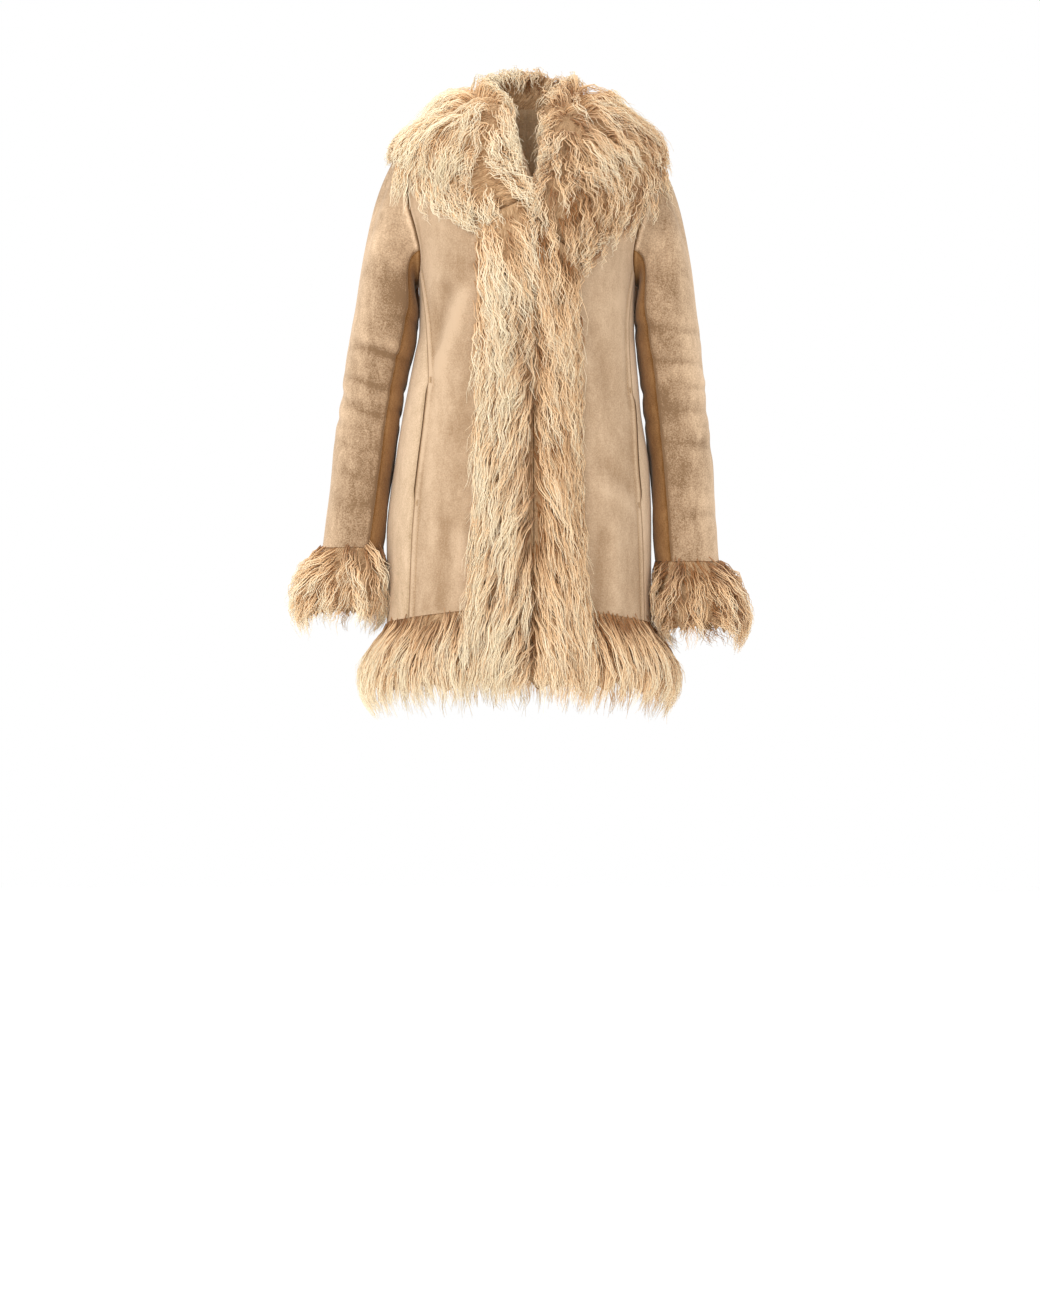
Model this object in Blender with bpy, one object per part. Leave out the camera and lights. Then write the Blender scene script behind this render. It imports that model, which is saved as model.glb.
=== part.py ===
"""Faux fur coat, hollow and open in front, in the form that it takes when it is worn.

The frame is the coat's own: +Z is up, -Y is the front, +X is the wearer's left, and the origin is
at neck height, between the two shoulder seams. Tables and sizes are in millimetres and degrees, and
the meshes are in metres.

The body is one smooth surface of rings, from the collar's stand down to the tips of the hem fur.
A ring is named by its level, which is the height of its side. Suede panels are stretches of that
surface with a wall's thickness inward. The fur is a thick layer that stands on the same surface.
The sleeves leave the body's own armholes, so that every seam has two matching edges.
"""

import bisect
import functools
import math

import bmesh
import bpy
import numpy as np

COAT = "faux_fur_coat"
MM = 0.001

# Suede: wall of the bonded cloth, and the open width of a seam.
WALL = 3.0
SEAM = 0.3
FRONT_EDGE_X = 8.0
FRONT_EDGE_GAP = 0.8

# Levels, on the side of the body.
STAND_TOP = 28.0
NECK = 0.0
SHOULDER = -40.0
UNDERARM = -225.0
HEM = -670.0
FUR_TIP = -792.0

# One row for each ring of the body, from the collar's stand to the tips of the hem fur.
RING_COLUMNS = (
    "level", "half_width", "centre_x", "side_y", "front_y", "front_z", "back_y", "back_z", "roundness",
)
RINGS = (
    (28, 61, 0, 4, -58, -1, 62, 50, 2.0),
    (0, 64, 0, 4, -62, -16, 64, 18, 2.0),
    (-12, 94, 0, 6, -78, -36, 76, 4, 2.0),
    (-26, 130, 0, 8, -90, -54, 88, -16, 2.1),
    (-40, 163, 0, 10, -99, -72, 97, -38, 2.2),
    (-60, 171, 0, 10, -106, -91, 103, -64, 2.2),
    (-90, 173, 0, 9, -112, -114, 107, -96, 2.2),
    (-125, 170, 0, 8, -119, -141, 111, -129, 2.2),
    (-155, 159, 0, 7, -124, -164, 112, -157, 2.2),
    (-190, 147, 0, 5, -129, -193, 112, -190, 2.2),
    (-225, 143, 0, 2, -132, -226, 110, -225, 2.2),
    (-284, 142, 0, -2, -131, -284, 104, -284, 2.2),
    (-323, 147, -2, -4, -129, -323, 101, -323, 2.2),
    (-363, 153, -4, -5, -130, -363, 100, -363, 2.25),
    (-404, 159, -6, -5, -133, -404, 102, -404, 2.25),
    (-450, 166, -6, -4, -138, -450, 107, -450, 2.3),
    (-498, 171, -8, -3, -142, -497, 115, -498, 2.3),
    (-557, 174, -10, -2, -147, -551, 125, -556, 2.3),
    (-670, 174, -10, 0, -152, -652, 138, -667, 2.3),
    (-735, 176, -10, 0, -154, -716, 141, -732, 2.3),
    (-800, 177, -10, 0, -155, -781, 142, -797, 2.3),
)

# The side-front and side-back seams: where each one lies across the body, at its level.
SIDE_SEAM_COLUMNS = ("level", "front_right_x", "front_left_x", "back_right_x", "back_left_x")
SIDE_SEAMS = (
    (-206, -134, 136, -128, 128),
    (-284, -130, 132, -122, 122),
    (-356, -127, 135, -124, 120),
    (-404, -131, 139, -130, 123),
    (-469, -139, 142, -139, 128),
    (-535, -146, 148, -146, 133),
    (-670, -152, 152, -152, 135),
)

# The armhole, an oval round the side of the body. Its angle is 0 at the shoulder point,
# 90 at the front, 180 under the arm and 270 at the back.
ARMHOLE_MID_Y = 8.0
ARMHOLE_FRONT = 60.0
ARMHOLE_BACK = 66.0
ARMHOLE_SQUARENESS = 2.3
ARMHOLE_SEAM = 0.5
HOLE_FRONT = (0, 8, 22, 40, 60, 80, 100, 120, 140)
HOLE_FOOT = (140, 160, 180, 200, 220)
HOLE_BACK = (220, 240, 260, 280, 300, 320, 338, 352, 360)
SIDE_FRONT_ANGLE = 140
SIDE_BACK_ANGLE = 220

# The narrow V at the neck, where the front edges part: its foot and height, and how far each edge
# turns away over that height.
NECK_OPENING_FOOT = -105.0
NECK_OPENING_HEIGHT = 90.0
NECK_OPENING_LEFT = 15.0
NECK_OPENING_RIGHT = 27.0

# Rows of the body panels: from the hem to the armholes, and the levels along the shoulder seam.
LOWER_ROWS = 13
SHOULDER_ROWS = (-33.0, -24.0, -13.0, NECK)
SEAM_EASE = 90.0
FRONT_COLUMNS = 9
BACK_COLUMNS = 9

# Sleeve sections below the armhole, level with the floor. The angle runs as on the armhole.
SLEEVE_FRONT_SEAM = 120
SLEEVE_BACK_SEAM = 240
SLEEVE_COLUMNS = ("z", "centre_x", "half_width", "centre_y", "half_depth")
SLEEVE_RIGHT = (
    (-262, -183, 44, -4, 58),
    (-300, -190, 44, -3, 56),
    (-345, -200, 43, 0, 53),
    (-404, -208, 42, 0, 50),
    (-470, -216, 41, -4, 48),
    (-520, -222, 41, -8, 46),
    (-572, -229, 40, -12, 45),
    (-620, -240, 39, -16, 45),
    (-700, -248, 38, -22, 44),
)
SLEEVE_LEFT = (
    (-262, 181, 43, -4, 58),
    (-300, 186, 43, -3, 56),
    (-345, 192, 43, 0, 53),
    (-404, 197, 43, 0, 50),
    (-470, 203, 43, -4, 48),
    (-530, 207, 42, -9, 46),
    (-590, 211, 42, -13, 45),
    (-640, 221, 41, -17, 45),
    (-720, 230, 40, -23, 44),
)
SLEEVE_ROUNDNESS = 2.3
SLEEVE_END_RIGHT = -572.0
SLEEVE_END_LEFT = -590.0
SLEEVE_CAP_ROWS = (0.0, 0.06, 0.16, 0.30, 0.46, 0.64, 0.82)
SLEEVE_ROWS = (0.0, 0.1, 0.18, 0.25, 0.31, 0.37, 0.43, 0.49, 0.56, 0.66, 0.77, 0.88, 1.0)
SLEEVE_CLEARANCE = 2.5

# The sleeve's cap leaves the armhole outward by this share of its span, at the shoulder and under
# the arm, and arrives in the direction of the sleeve's first stretch.
CAP_OUTWARD_SHOULDER = 0.15
CAP_OUTWARD_UNDERARM = 1.5
SLEEVE_FIRST_STRETCH = 12.0

# Creases across the sleeves: height and angle of the middle, depth, half width, and degrees round.
CREASE_COLUMNS = ("z", "angle", "depth", "width", "spread")
CREASE_SLANT = 0.15
CREASES_RIGHT = ((-335, 60, 3.5, 16, 55), (-372, 40, 4.0, 17, 60), (-412, 75, 3.5, 17, 60))
CREASES_LEFT = ((-334, 50, 3.0, 17, 60), (-394, 60, 4.0, 18, 60), (-440, 40, 3.0, 18, 60))

# Fur strips. A section runs over the body's surface from an inner to an outer edge. The pile stands
# inner_lip, crest and outer_lip high, and under is how far its underside is above the surface.
STRIP_COLUMNS = (
    "inner_angle", "inner_level", "outer_angle", "outer_level",
    "inner_lip", "crest", "outer_lip", "under", "lift",
)
COLLAR_RIGHT = (
    (3.4, -110, -29, -152, 20, 33, 8, 2.4, 0),
    (-1, -80, -39, -138, 20, 36, 8, 2.4, 0),
    (-8, -45, -49, -122, 20, 41, 8, 2.4, 0),
    (-17, -8, -60, -102, 19, 44, 7, 2.4, 1),
    (-30, 18, -72, -76, 18, 46, 6, 2.4, 2),
    (-52, 26, -84, -53, 18, 48, 6, 2.4, 3),
    (-80, 28, -96, -48, 18, 49, 6, 2.4, 3),
    (-106, 28, -109, -58, 18, 48, 7, 3.0, 3),
    (-130, 28, -130, -90, 18, 46, 8, 3.6, 0),
    (-155, 28, -155, -112, 18, 44, 9, 2.4, 0),
    (-180, 28, -180, -118, 18, 44, 9, 2.4, 0),
)
COLLAR_LEFT = (
    (4.2, -150, 31, -214, 20, 33, 8, 2.4, 0),
    (4.6, -112, 40, -188, 20, 36, 8, 2.4, 0),
    (8, -70, 50, -162, 20, 41, 8, 2.4, 0),
    (13, -30, 61, -132, 20, 44, 8, 2.4, 4),
    (21, 5, 70, -104, 19, 47, 7, 2.4, 9),
    (42, 25, 82, -66, 18, 49, 7, 2.4, 6),
    (70, 28, 93, -53, 18, 50, 7, 2.4, 5),
    (96, 28, 103, -58, 18, 49, 7, 2.4, 4),
    (122, 28, 120, -82, 18, 47, 8, 3.6, 1),
    (150, 28, 150, -108, 18, 45, 9, 2.4, 0),
)
COLLAR_STEPS = 3
COLLAR_ACROSS = 8
COLLAR_TOP = 0.3
COLLAR_POWER = 1.35
SHOULDER_STRETCH = 2.3
PILE_LEAN = -14.0
SHOULDER_BRIDGE = 3.0
SHOULDER_BEND = 16.0
LIFT_START = 0.6
COLLAR_LOCK_REACH = 0.05

# Front bands, from under the collar to the tips below the hem.
BAND_COLUMNS = ("inner_level", "outer_level", "side_x", "inner_lip", "crest", "outer_lip", "under")
BAND_RIGHT = (
    (-110, -152, -67, 20, 33, 8, 2.4),
    (-150, -172, -64, 20, 34, 7, 0.6),
    (-200, -205, -63, 20, 33, 6, 0.5),
    (-300, -300, -63, 20, 32, 6, 0.5),
    (-440, -440, -64, 21, 33, 6, 0.5),
    (-560, -560, -69, 23, 35, 7, 0.5),
    (-655, -655, -72, 25, 38, 12, 0.5),
    (-720, -720, -76, 25, 40, 24, 0.5),
    (-765, -765, -78, 18, 28, 18, 2),
    (-792, -792, -76, 9, 11, 9, 4),
)
BAND_LEFT = (
    (-150, -214, 68, 20, 33, 8, 2.4),
    (-190, -234, 66, 20, 34, 7, 0.6),
    (-240, -256, 65, 20, 33, 6, 0.5),
    (-300, -300, 64, 20, 32, 6, 0.5),
    (-440, -440, 64, 21, 33, 6, 0.5),
    (-560, -560, 67, 23, 35, 7, 0.5),
    (-655, -655, 71, 25, 38, 12, 0.5),
    (-720, -720, 75, 25, 40, 24, 0.5),
    (-765, -765, 77, 18, 28, 18, 2),
    (-792, -792, 75, 9, 11, 9, 4),
)
BAND_ROWS = 27
BAND_ACROSS = 7
BAND_TOP = 0.42
BAND_POWER = 1.8
BAND_EDGE_GAP = 0.6
JOINT_GAP = 0.5

# Hem band: how far the pile stands out of the body's surface, and where its underside is.
HEM_COLUMNS = ("level", "out", "under")
HEM_BAND = (
    (-670, 4, -3),
    (-688, 13, -3),
    (-710, 26, -3),
    (-736, 34, -3),
    (-760, 33, 0),
    (-780, 25, 6),
    (-792, 17, 9),
)
HEM_BAND_ROWS = 5
HEM_BAND_LOCKS = 38
HEM_END_THINNING = 0.28
HEM_END_COLUMNS = 6

# Cuffs: share of the cuff's length, how far the pile stands out of the sleeve, and its underside.
CUFF_COLUMNS = ("share", "out", "under")
CUFF = (
    (0.0, 4, -3),
    (0.14, 18, -3),
    (0.38, 27, -3),
    (0.62, 28, -3),
    (0.82, 21, 0),
    (1.0, 10, 3),
)
CUFF_CLEARANCE = 5.5
CUFF_THINNEST = 5.0
CUFF_ROWS = 5
CUFF_LOCKS = 16
CUFF_RIGHT_TIP = -682.0
CUFF_LEFT_TIP = -704.0

# Locks of fur: how far they rise and sink, their pitch and lean on the bands, and how uneven the
# tips are.
LOCK_RELIEF = 0.14
LOCK_PITCH = 80.0
LOCK_LEAN = 1.3
TIP_RISE = 7.5
TIP_DROP = -5.5
TIP_DRIFT = 3.0
TIP_DRIFT_TURN = 1.7
SHARP_EDGE = 50.0

SUEDE_COLOUR = (0.855, 0.741, 0.604)
SLEEVE_COLOUR = (0.737, 0.584, 0.427)
FUR_COLOUR = (0.902, 0.776, 0.635)


@functools.cache
def curve(table, place):
    """Places, values and slopes of a smooth curve through a table's column, which never swings past them."""
    rows = sorted(table)
    xs = [row[0] for row in rows]
    ys = [row[place] for row in rows]
    rises = [(ys[i + 1] - ys[i]) / (xs[i + 1] - xs[i]) for i in range(len(xs) - 1)]
    slopes = [rises[0]]
    for before, after in zip(rises, rises[1:]):
        limit = 3 * min(abs(before), abs(after)) if before * after > 0 else 0.0
        slopes.append(math.copysign(min(abs(before + after) / 2, limit), before))
    return xs, ys, [*slopes, rises[-1]]


@functools.cache
def read(table, columns, name, at):
    """Value of a named column at a value of the table's first column."""
    xs, ys, slopes = curve(table, columns.index(name))
    at = min(max(at, xs[0]), xs[-1])
    i = min(bisect.bisect_right(xs, at) - 1, len(xs) - 2)
    step = xs[i + 1] - xs[i]
    t = (at - xs[i]) / step
    return (
        ys[i] * (1 + 2 * t) * (1 - t) ** 2
        + slopes[i] * step * t * (1 - t) ** 2
        + ys[i + 1] * t * t * (3 - 2 * t)
        + slopes[i + 1] * step * t * t * (t - 1)
    )


def ring(name, level):
    """Value of a ring's column at any level."""
    return read(RINGS, RING_COLUMNS, name, level)


def unit(vector):
    """Vector of length 1 in the same direction."""
    return vector / np.linalg.norm(vector)


def body_point(angle, level):
    """Outer face of the body. The angle is 0 in front, 90 at the wearer's left and 180 behind."""
    turn = math.radians(angle)
    across, ahead = math.sin(turn), math.cos(turn)
    roundness = ring("roundness", level)
    side_y = ring("side_y", level)
    end = "back" if ahead < 0 else "front"
    depth = abs(ring(f"{end}_y", level) - side_y)
    end_z = ring(f"{end}_z", level)
    sides = abs(across) / ring("half_width", level), abs(ahead) / depth
    radius = sum(share**roundness for share in sides) ** (-1 / roundness)
    return np.array([
        ring("centre_x", level) + radius * across,
        side_y - radius * ahead,
        level + (end_z - level) * ahead * ahead,
    ])


def body_normal(angle, level):
    """Direction out of the body's surface."""
    along = body_point(angle + 0.5, level) - body_point(angle - 0.5, level)
    top = min(level + 1.0, STAND_TOP)
    upward = body_point(angle, top) - body_point(angle, top - 2.0)
    return unit(np.cross(along, upward))


def raised(angle, level, height):
    """Point at a height above the body's surface, or below it if the height is negative."""
    return body_point(angle, level) + height * body_normal(angle, level)


def angle_at_x(x, level, behind=False):
    """Angle at which the ring of this level crosses a given x."""
    across = x - ring("centre_x", level)
    share = min(abs(across) / ring("half_width", level), 1.0)
    roundness = ring("roundness", level)
    end = ring("back_y", level) if behind else ring("front_y", level)
    ahead = (ring("side_y", level) - end) * (1 - share**roundness) ** (1 / roundness)
    return math.degrees(math.atan2(across, ahead))


def angle_at_y(y, level, side):
    """Angle at which the ring of this level crosses a given y, on the side -1 or 1."""
    ahead = ring("side_y", level) - y
    end = ring("front_y", level) if ahead >= 0 else ring("back_y", level)
    depth = abs(end - ring("side_y", level))
    roundness = ring("roundness", level)
    across = ring("half_width", level) * (1 - min(abs(ahead) / depth, 1.0) ** roundness) ** (1 / roundness)
    return side * math.degrees(math.atan2(across, ahead))


def degrees_for(distance, angle, level):
    """Turn that moves a point by a distance along its ring."""
    return distance / np.linalg.norm(body_point(angle + 0.5, level) - body_point(angle - 0.5, level))


def armhole(hole_angle, side):
    """(angle, level) of the body's surface at a place on the rim of an armhole."""
    turn = math.radians(hole_angle)
    share = 2 / ARMHOLE_SQUARENESS
    up = math.copysign(abs(math.cos(turn)) ** share, math.cos(turn))
    ahead = math.copysign(abs(math.sin(turn)) ** share, math.sin(turn))
    level = (SHOULDER + UNDERARM) / 2 + (SHOULDER - UNDERARM) / 2 * up
    width = ARMHOLE_FRONT if ahead > 0 else ARMHOLE_BACK
    mid_y = ring("side_y", level) if abs(ahead) < 1e-6 else ARMHOLE_MID_Y
    return angle_at_y(mid_y - width * ahead, level, side), level


def seam_angle(name, level):
    """Angle of a side-front or side-back seam at a level."""
    x = read(SIDE_SEAMS, SIDE_SEAM_COLUMNS, name, level)
    return angle_at_x(x, level, behind=name.startswith("back"))


def side_seam(end, side, level):
    """Angle of a seam below the armhole, which runs into the armhole's own point at its top."""
    name = ("front_" if end == SIDE_FRONT_ANGLE else "back_") + ("left_x" if side > 0 else "right_x")
    rim_angle, rim_level = armhole(end, side)
    share = max(0.0, 1 - (rim_level - level) / SEAM_EASE) ** 2
    meeting = rim_angle - seam_angle(name, rim_level)
    return seam_angle(name, level) + share * meeting


def make_material(name, colour):
    """Plain cloth or fur in one colour."""
    material = bpy.data.materials.new(name)
    material.use_nodes = True
    shader = material.node_tree.nodes["Principled BSDF"]
    linear = [((c + 0.055) / 1.055) ** 2.4 for c in colour]
    shader.inputs["Base Color"].default_value = (*linear, 1.0)
    shader.inputs["Roughness"].default_value = 0.95
    shader.inputs["Metallic"].default_value = 0.0
    return material


def wall_object(name, outer, inner, material, closed=False):
    """A closed wall between two grids of points with the same rows and columns.

    A closed grid runs round a tube, so that its last column meets its first one.
    """
    rows, columns = len(outer), len(outer[0])
    mesh = bpy.data.meshes.new(name)
    work = bmesh.new()
    faces = [
        [[work.verts.new(point * MM) for point in row] for row in grid] for grid in (outer, inner)
    ]
    steps = columns if closed else columns - 1
    for r in range(rows - 1):
        for c in range(steps):
            n = (c + 1) % columns
            for grid in faces:
                work.faces.new((grid[r][c], grid[r][n], grid[r + 1][n], grid[r + 1][c]))
    for r in (0, rows - 1):
        for c in range(steps):
            n = (c + 1) % columns
            work.faces.new((faces[0][r][c], faces[0][r][n], faces[1][r][n], faces[1][r][c]))
    for c in () if closed else (0, columns - 1):
        for r in range(rows - 1):
            work.faces.new((faces[0][r][c], faces[0][r + 1][c], faces[1][r + 1][c], faces[1][r][c]))
    bmesh.ops.recalc_face_normals(work, faces=work.faces)
    work.to_mesh(mesh)
    work.free()
    mesh.shade_smooth()
    mesh.set_sharp_from_angle(angle=math.radians(SHARP_EDGE))
    mesh.materials.append(material)
    piece = bpy.data.objects.new(name, mesh)
    bpy.data.collections[COAT].objects.link(piece)
    return piece


def side_name(side):
    """The wearer's side that a side of -1 or 1 stands for."""
    return "left" if side > 0 else "right"


def panel(name, places, material):
    """A suede panel from a grid of (angle, level) places."""
    outer = [[body_point(*place) for place in row] for row in places]
    inner = [[raised(*place, -WALL) for place in row] for row in places]
    return wall_object(name, outer, inner, material)


def hole_levels():
    """Levels of the rows that end on an armhole, from the side seams up to the shoulder point."""
    return [armhole(a, 1)[1] for a in HOLE_FRONT[::-1]]


def lower_levels():
    """Levels of the rows from the hem up to the foot of the armhole rows."""
    return [float(level) for level in np.linspace(HEM, hole_levels()[0], LOWER_ROWS)]


def neck_edge(side, level):
    """Angle of the front panel's free edge, which opens into a narrow V at the neck."""
    gap = side * FRONT_EDGE_GAP / 2
    rise = body_point(0, level)[2] - NECK_OPENING_FOOT
    opening = max(0.0, rise) / NECK_OPENING_HEIGHT
    reach = NECK_OPENING_LEFT if side > 0 else NECK_OPENING_RIGHT
    return angle_at_x(FRONT_EDGE_X + gap + side * reach * opening, level)


def front_panel(side):
    """Front, from the free edge to the side-front seam, the armhole and the shoulder seam."""
    rows = []
    for level in lower_levels()[:-1]:
        edge = side_seam(SIDE_FRONT_ANGLE, side, level)
        edge -= side * degrees_for(SEAM / 2, edge, level)
        rows.append((edge, level))
    for hole_angle in HOLE_FRONT[::-1]:
        rows.append(armhole(hole_angle, side))
    for level in SHOULDER_ROWS:
        rows.append((side * 90.0 - side * degrees_for(SEAM / 2, side * 90, level), level))
    places = []
    for edge, level in rows:
        start = neck_edge(side, level)
        places.append([
            (start + (edge - start) * c / FRONT_COLUMNS, level) for c in range(FRONT_COLUMNS + 1)
        ])
    return panel(f"front_{side_name(side)}", places, MATERIALS["suede"])


def back_panel(side):
    """Half of the back, from the side-back seam to the seam down its middle."""
    rows = []
    for level in lower_levels()[:-1]:
        edge = side_seam(SIDE_BACK_ANGLE, side, level)
        rows.append((edge + side * degrees_for(SEAM / 2, edge, level), level))
    for hole_angle in HOLE_BACK:
        rows.append(armhole(hole_angle, side))
    for level in SHOULDER_ROWS:
        rows.append((side * (90.0 + degrees_for(SEAM / 2, 90, level)), level))
    places = []
    for edge, level in rows:
        middle = side * (180.0 - degrees_for(SEAM / 2, 180, level))
        places.append([
            (edge + (middle - edge) * c / BACK_COLUMNS, level) for c in range(BACK_COLUMNS + 1)
        ])
    return panel(f"back_{side_name(side)}", places, MATERIALS["suede"])


def side_panel(side):
    """Side panel under the arm, whose top edge is the foot of the armhole."""
    lows = lower_levels()
    last = len(HOLE_FOOT) - 1
    ends = (HOLE_FOOT[0], HOLE_FOOT[-1])
    front_foot, back_foot = (armhole(end, side)[0] for end in ends)
    places = []
    for low in lows:
        share = (low - lows[0]) / (lows[-1] - lows[0])
        gap = SEAM / 2 if share < 1 else SEAM
        row = []
        for k, hole_angle in enumerate(HOLE_FOOT):
            top_angle, top_level = armhole(hole_angle, side)
            level = lows[0] + share * (top_level - lows[0])
            front, back = (side_seam(end, side, min(level, lows[-1])) for end in ends)
            across = (top_angle - front_foot) / (back_foot - front_foot)
            spread = k / last + share * (across - k / last)
            angle = front + spread * (back - front)
            inward = {0: 1, last: -1}.get(k, 0) * side
            row.append((angle + inward * degrees_for(gap, angle, level), level))
        places.append(row)
    return panel(f"side_{side_name(side)}", places, MATERIALS["suede"])


def body_reach(side, y, z, margin):
    """The x that a sleeve or cuff must keep outside of, beside the body and the hem fur."""
    level = min(max(z, FUR_TIP), NECK)
    fur = read(HEM_BAND, HEM_COLUMNS, "out", level) * (1 + LOCK_RELIEF) if level < HEM else 0.0
    depth = ring("front_y" if y < ring("side_y", level) else "back_y", level) - ring("side_y", level)
    share = min(abs((y - ring("side_y", level)) / depth), 1.0)
    roundness = ring("roundness", level)
    half = (ring("half_width", level) + fur) * (1 - share**roundness) ** (1 / roundness)
    return ring("centre_x", level) + side * (half + margin)


def sleeve_section(side, angle, z, swell=0.0, margin=SLEEVE_CLEARANCE):
    """Point on a level section of the sleeve, with a swell added to it and a margin to the body."""
    table = SLEEVE_LEFT if side > 0 else SLEEVE_RIGHT
    turn = math.radians(angle)
    size = [read(table, SLEEVE_COLUMNS, name, z) for name in SLEEVE_COLUMNS[1:]]
    centre_x, half_width, centre_y, half_depth = size
    reach = (abs(math.cos(turn)) / (half_width + swell)) ** SLEEVE_ROUNDNESS
    reach += (abs(math.sin(turn)) / (half_depth + swell)) ** SLEEVE_ROUNDNESS
    radius = reach ** (-1 / SLEEVE_ROUNDNESS) - crease(side, angle, z)
    x = centre_x + side * radius * math.cos(turn)
    y = centre_y - radius * math.sin(turn)
    limit = body_reach(side, y, z, margin)
    if side * (x - limit) < 0:
        x = limit
    return np.array([x, y, z])


def crease(side, angle, z):
    """Depth of the creases at a place on the sleeve."""
    depth = 0.0
    for row in CREASES_LEFT if side > 0 else CREASES_RIGHT:
        one = dict(zip(CREASE_COLUMNS, row))
        off = (angle - one["angle"] + 180) % 360 - 180
        down = (z - one["z"] + CREASE_SLANT * off) / one["width"]
        depth += one["depth"] * math.exp(-down * down - (off / one["spread"]) ** 2)
    return depth


def sleeve_point(side, angle, row):
    """Point of the sleeve's outer face: rows below 1 are the cap, and then sections down to the end."""
    if row >= 1:
        end = SLEEVE_END_LEFT if side > 0 else SLEEVE_END_RIGHT
        top = SLEEVE_RIGHT[0][0]
        return sleeve_section(side, angle, top + (end - top) * (row - 1))
    place = armhole(angle, side)
    rim = body_point(*place)
    off = rim_direction(side, angle)
    start = rim + ARMHOLE_SEAM * off
    end = sleeve_section(side, angle, SLEEVE_RIGHT[0][0])
    below = sleeve_section(side, angle, SLEEVE_RIGHT[0][0] - SLEEVE_FIRST_STRETCH)
    span = np.linalg.norm(end - start)
    down = (1 - math.cos(math.radians(angle))) / 2
    share = CAP_OUTWARD_SHOULDER + (CAP_OUTWARD_UNDERARM - CAP_OUTWARD_SHOULDER) * down
    outward = np.array([side * share, 0, 0])
    leave = unit(off + unit(end - start) + outward) * span
    arrive = unit(below - end) * span
    t = row
    return (
        start * (1 + 2 * t) * (1 - t) ** 2
        + leave * t * (1 - t) ** 2
        + end * t * t * (3 - 2 * t)
        + arrive * t * t * (t - 1)
    )


def rim_direction(side, angle):
    """Direction off the panel's edge, in the body's surface and into the armhole."""
    before, after = (body_point(*armhole(angle + turn, side)) for turn in (-1, 1))
    across = unit(np.cross(after - before, body_normal(*armhole(angle, side))))
    middle = body_point(side * 90, (SHOULDER + UNDERARM) / 2)
    towards = middle - body_point(*armhole(angle, side))
    return across if np.dot(across, towards) > 0 else -across


def sleeve_normal(side, angle, row):
    """Direction out of the sleeve, which turns into the body's own direction at the armhole."""
    step = 0.02
    low = min(max(row - step, 0.0), 2 - 2 * step)
    down = sleeve_point(side, angle, low + 2 * step) - sleeve_point(side, angle, low)
    around = sleeve_point(side, angle + 1, row) - sleeve_point(side, angle - 1, row)
    out = unit(np.cross(around, down)) * side
    if row >= 2:
        out[2] = 0.0
    share = min(row / SLEEVE_CAP_ROWS[2], 1.0)
    return unit(out * share + body_normal(*armhole(angle, side)) * (1 - share))


def sleeve_panel(name, side, start, end, material):
    """One piece of the sleeve, between its front seam and its back seam."""
    rows = [*SLEEVE_CAP_ROWS, *(1 + share for share in SLEEVE_ROWS)]
    hole = (*HOLE_FRONT, *HOLE_FOOT[1:], *HOLE_BACK[1:-1])
    columns = [angle + turn for turn in (0, 360) for angle in hole if start <= angle + turn <= end]
    outer, inner = [], []
    for row in rows:
        outer_row, inner_row = [], []
        for angle in columns:
            ease = {start: 1, end: -1}.get(angle, 0)
            width = np.linalg.norm(sleeve_point(side, angle + 1, row) - sleeve_point(side, angle - 1, row))
            place = angle + ease * SEAM / width
            point = sleeve_point(side, place, row)
            outer_row.append(point)
            inner_row.append(point - WALL * sleeve_normal(side, place, row))
        outer.append(outer_row)
        inner.append(inner_row)
    return wall_object(name, outer, inner, material)


def tip_offset(column):
    """How far the end of the pile is above its mean height, in a column: locks, and the gaps between them."""
    lock = TIP_DROP if column % 2 else TIP_RISE
    return lock + TIP_DRIFT * math.sin(TIP_DRIFT_TURN * column)


def pile_profile(share, values, top, power):
    """Height of the pile across a strip: steep from the inner edge to its top, then a slope outward."""
    if share < top:
        rise = math.sin(math.pi / 2 * share / top)
        return values["inner_lip"] + (values["crest"] - values["inner_lip"]) * rise
    slope = (1 - ((share - top) / (1 - top)) ** power) ** (2 / power)
    return values["outer_lip"] + (values["crest"] - values["outer_lip"]) * slope


def catmull(rows, place):
    """Row of a table at a place between its rows, on a smooth curve through them."""
    i = min(int(place), len(rows) - 2)
    t = place - i
    before, start, end, after = (
        np.asarray(rows[min(max(k, 0), len(rows) - 1)], float) for k in (i - 1, i, i + 1, i + 2)
    )
    return 0.5 * (
        2 * start
        + (end - before) * t
        + (2 * before - 5 * start + 4 * end - after) * t * t
        + (3 * start - before - 3 * end + after) * t**3
    )


def collar_sections():
    """Sections of the collar from the right lapel's foot, round the neck, to the left lapel's foot."""
    left = [(row[0] - 360, row[1], row[2] - 360, *row[3:]) for row in COLLAR_LEFT[::-1]]
    return [*COLLAR_RIGHT, *left]


def fall(level):
    """Distance over the surface from the top of the stand, nearly, down to a level."""
    shoulder = SHOULDER_STRETCH * min(max(-level, 0.0), -SHOULDER)
    return STAND_TOP - max(level, 0.0) + shoulder + max(SHOULDER - level, 0.0)


def level_at(distance):
    """Level at a distance over the surface from the top of the stand."""
    slope_end = STAND_TOP - SHOULDER_STRETCH * SHOULDER
    if distance <= STAND_TOP:
        return STAND_TOP - distance
    return -(min(distance, slope_end) - STAND_TOP) / SHOULDER_STRETCH - max(distance - slope_end, 0.0)


def pile_direction(angle, level):
    """Direction of the collar's pile, which leans ever more upward over the stand."""
    up = min(max((level - PILE_LEAN) / (STAND_TOP - PILE_LEAN), 0.0), 1.0)
    return unit(body_normal(angle, min(level, PILE_LEAN)) * (1 - up) + np.array([0, 0, 1.0]) * up)


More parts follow.
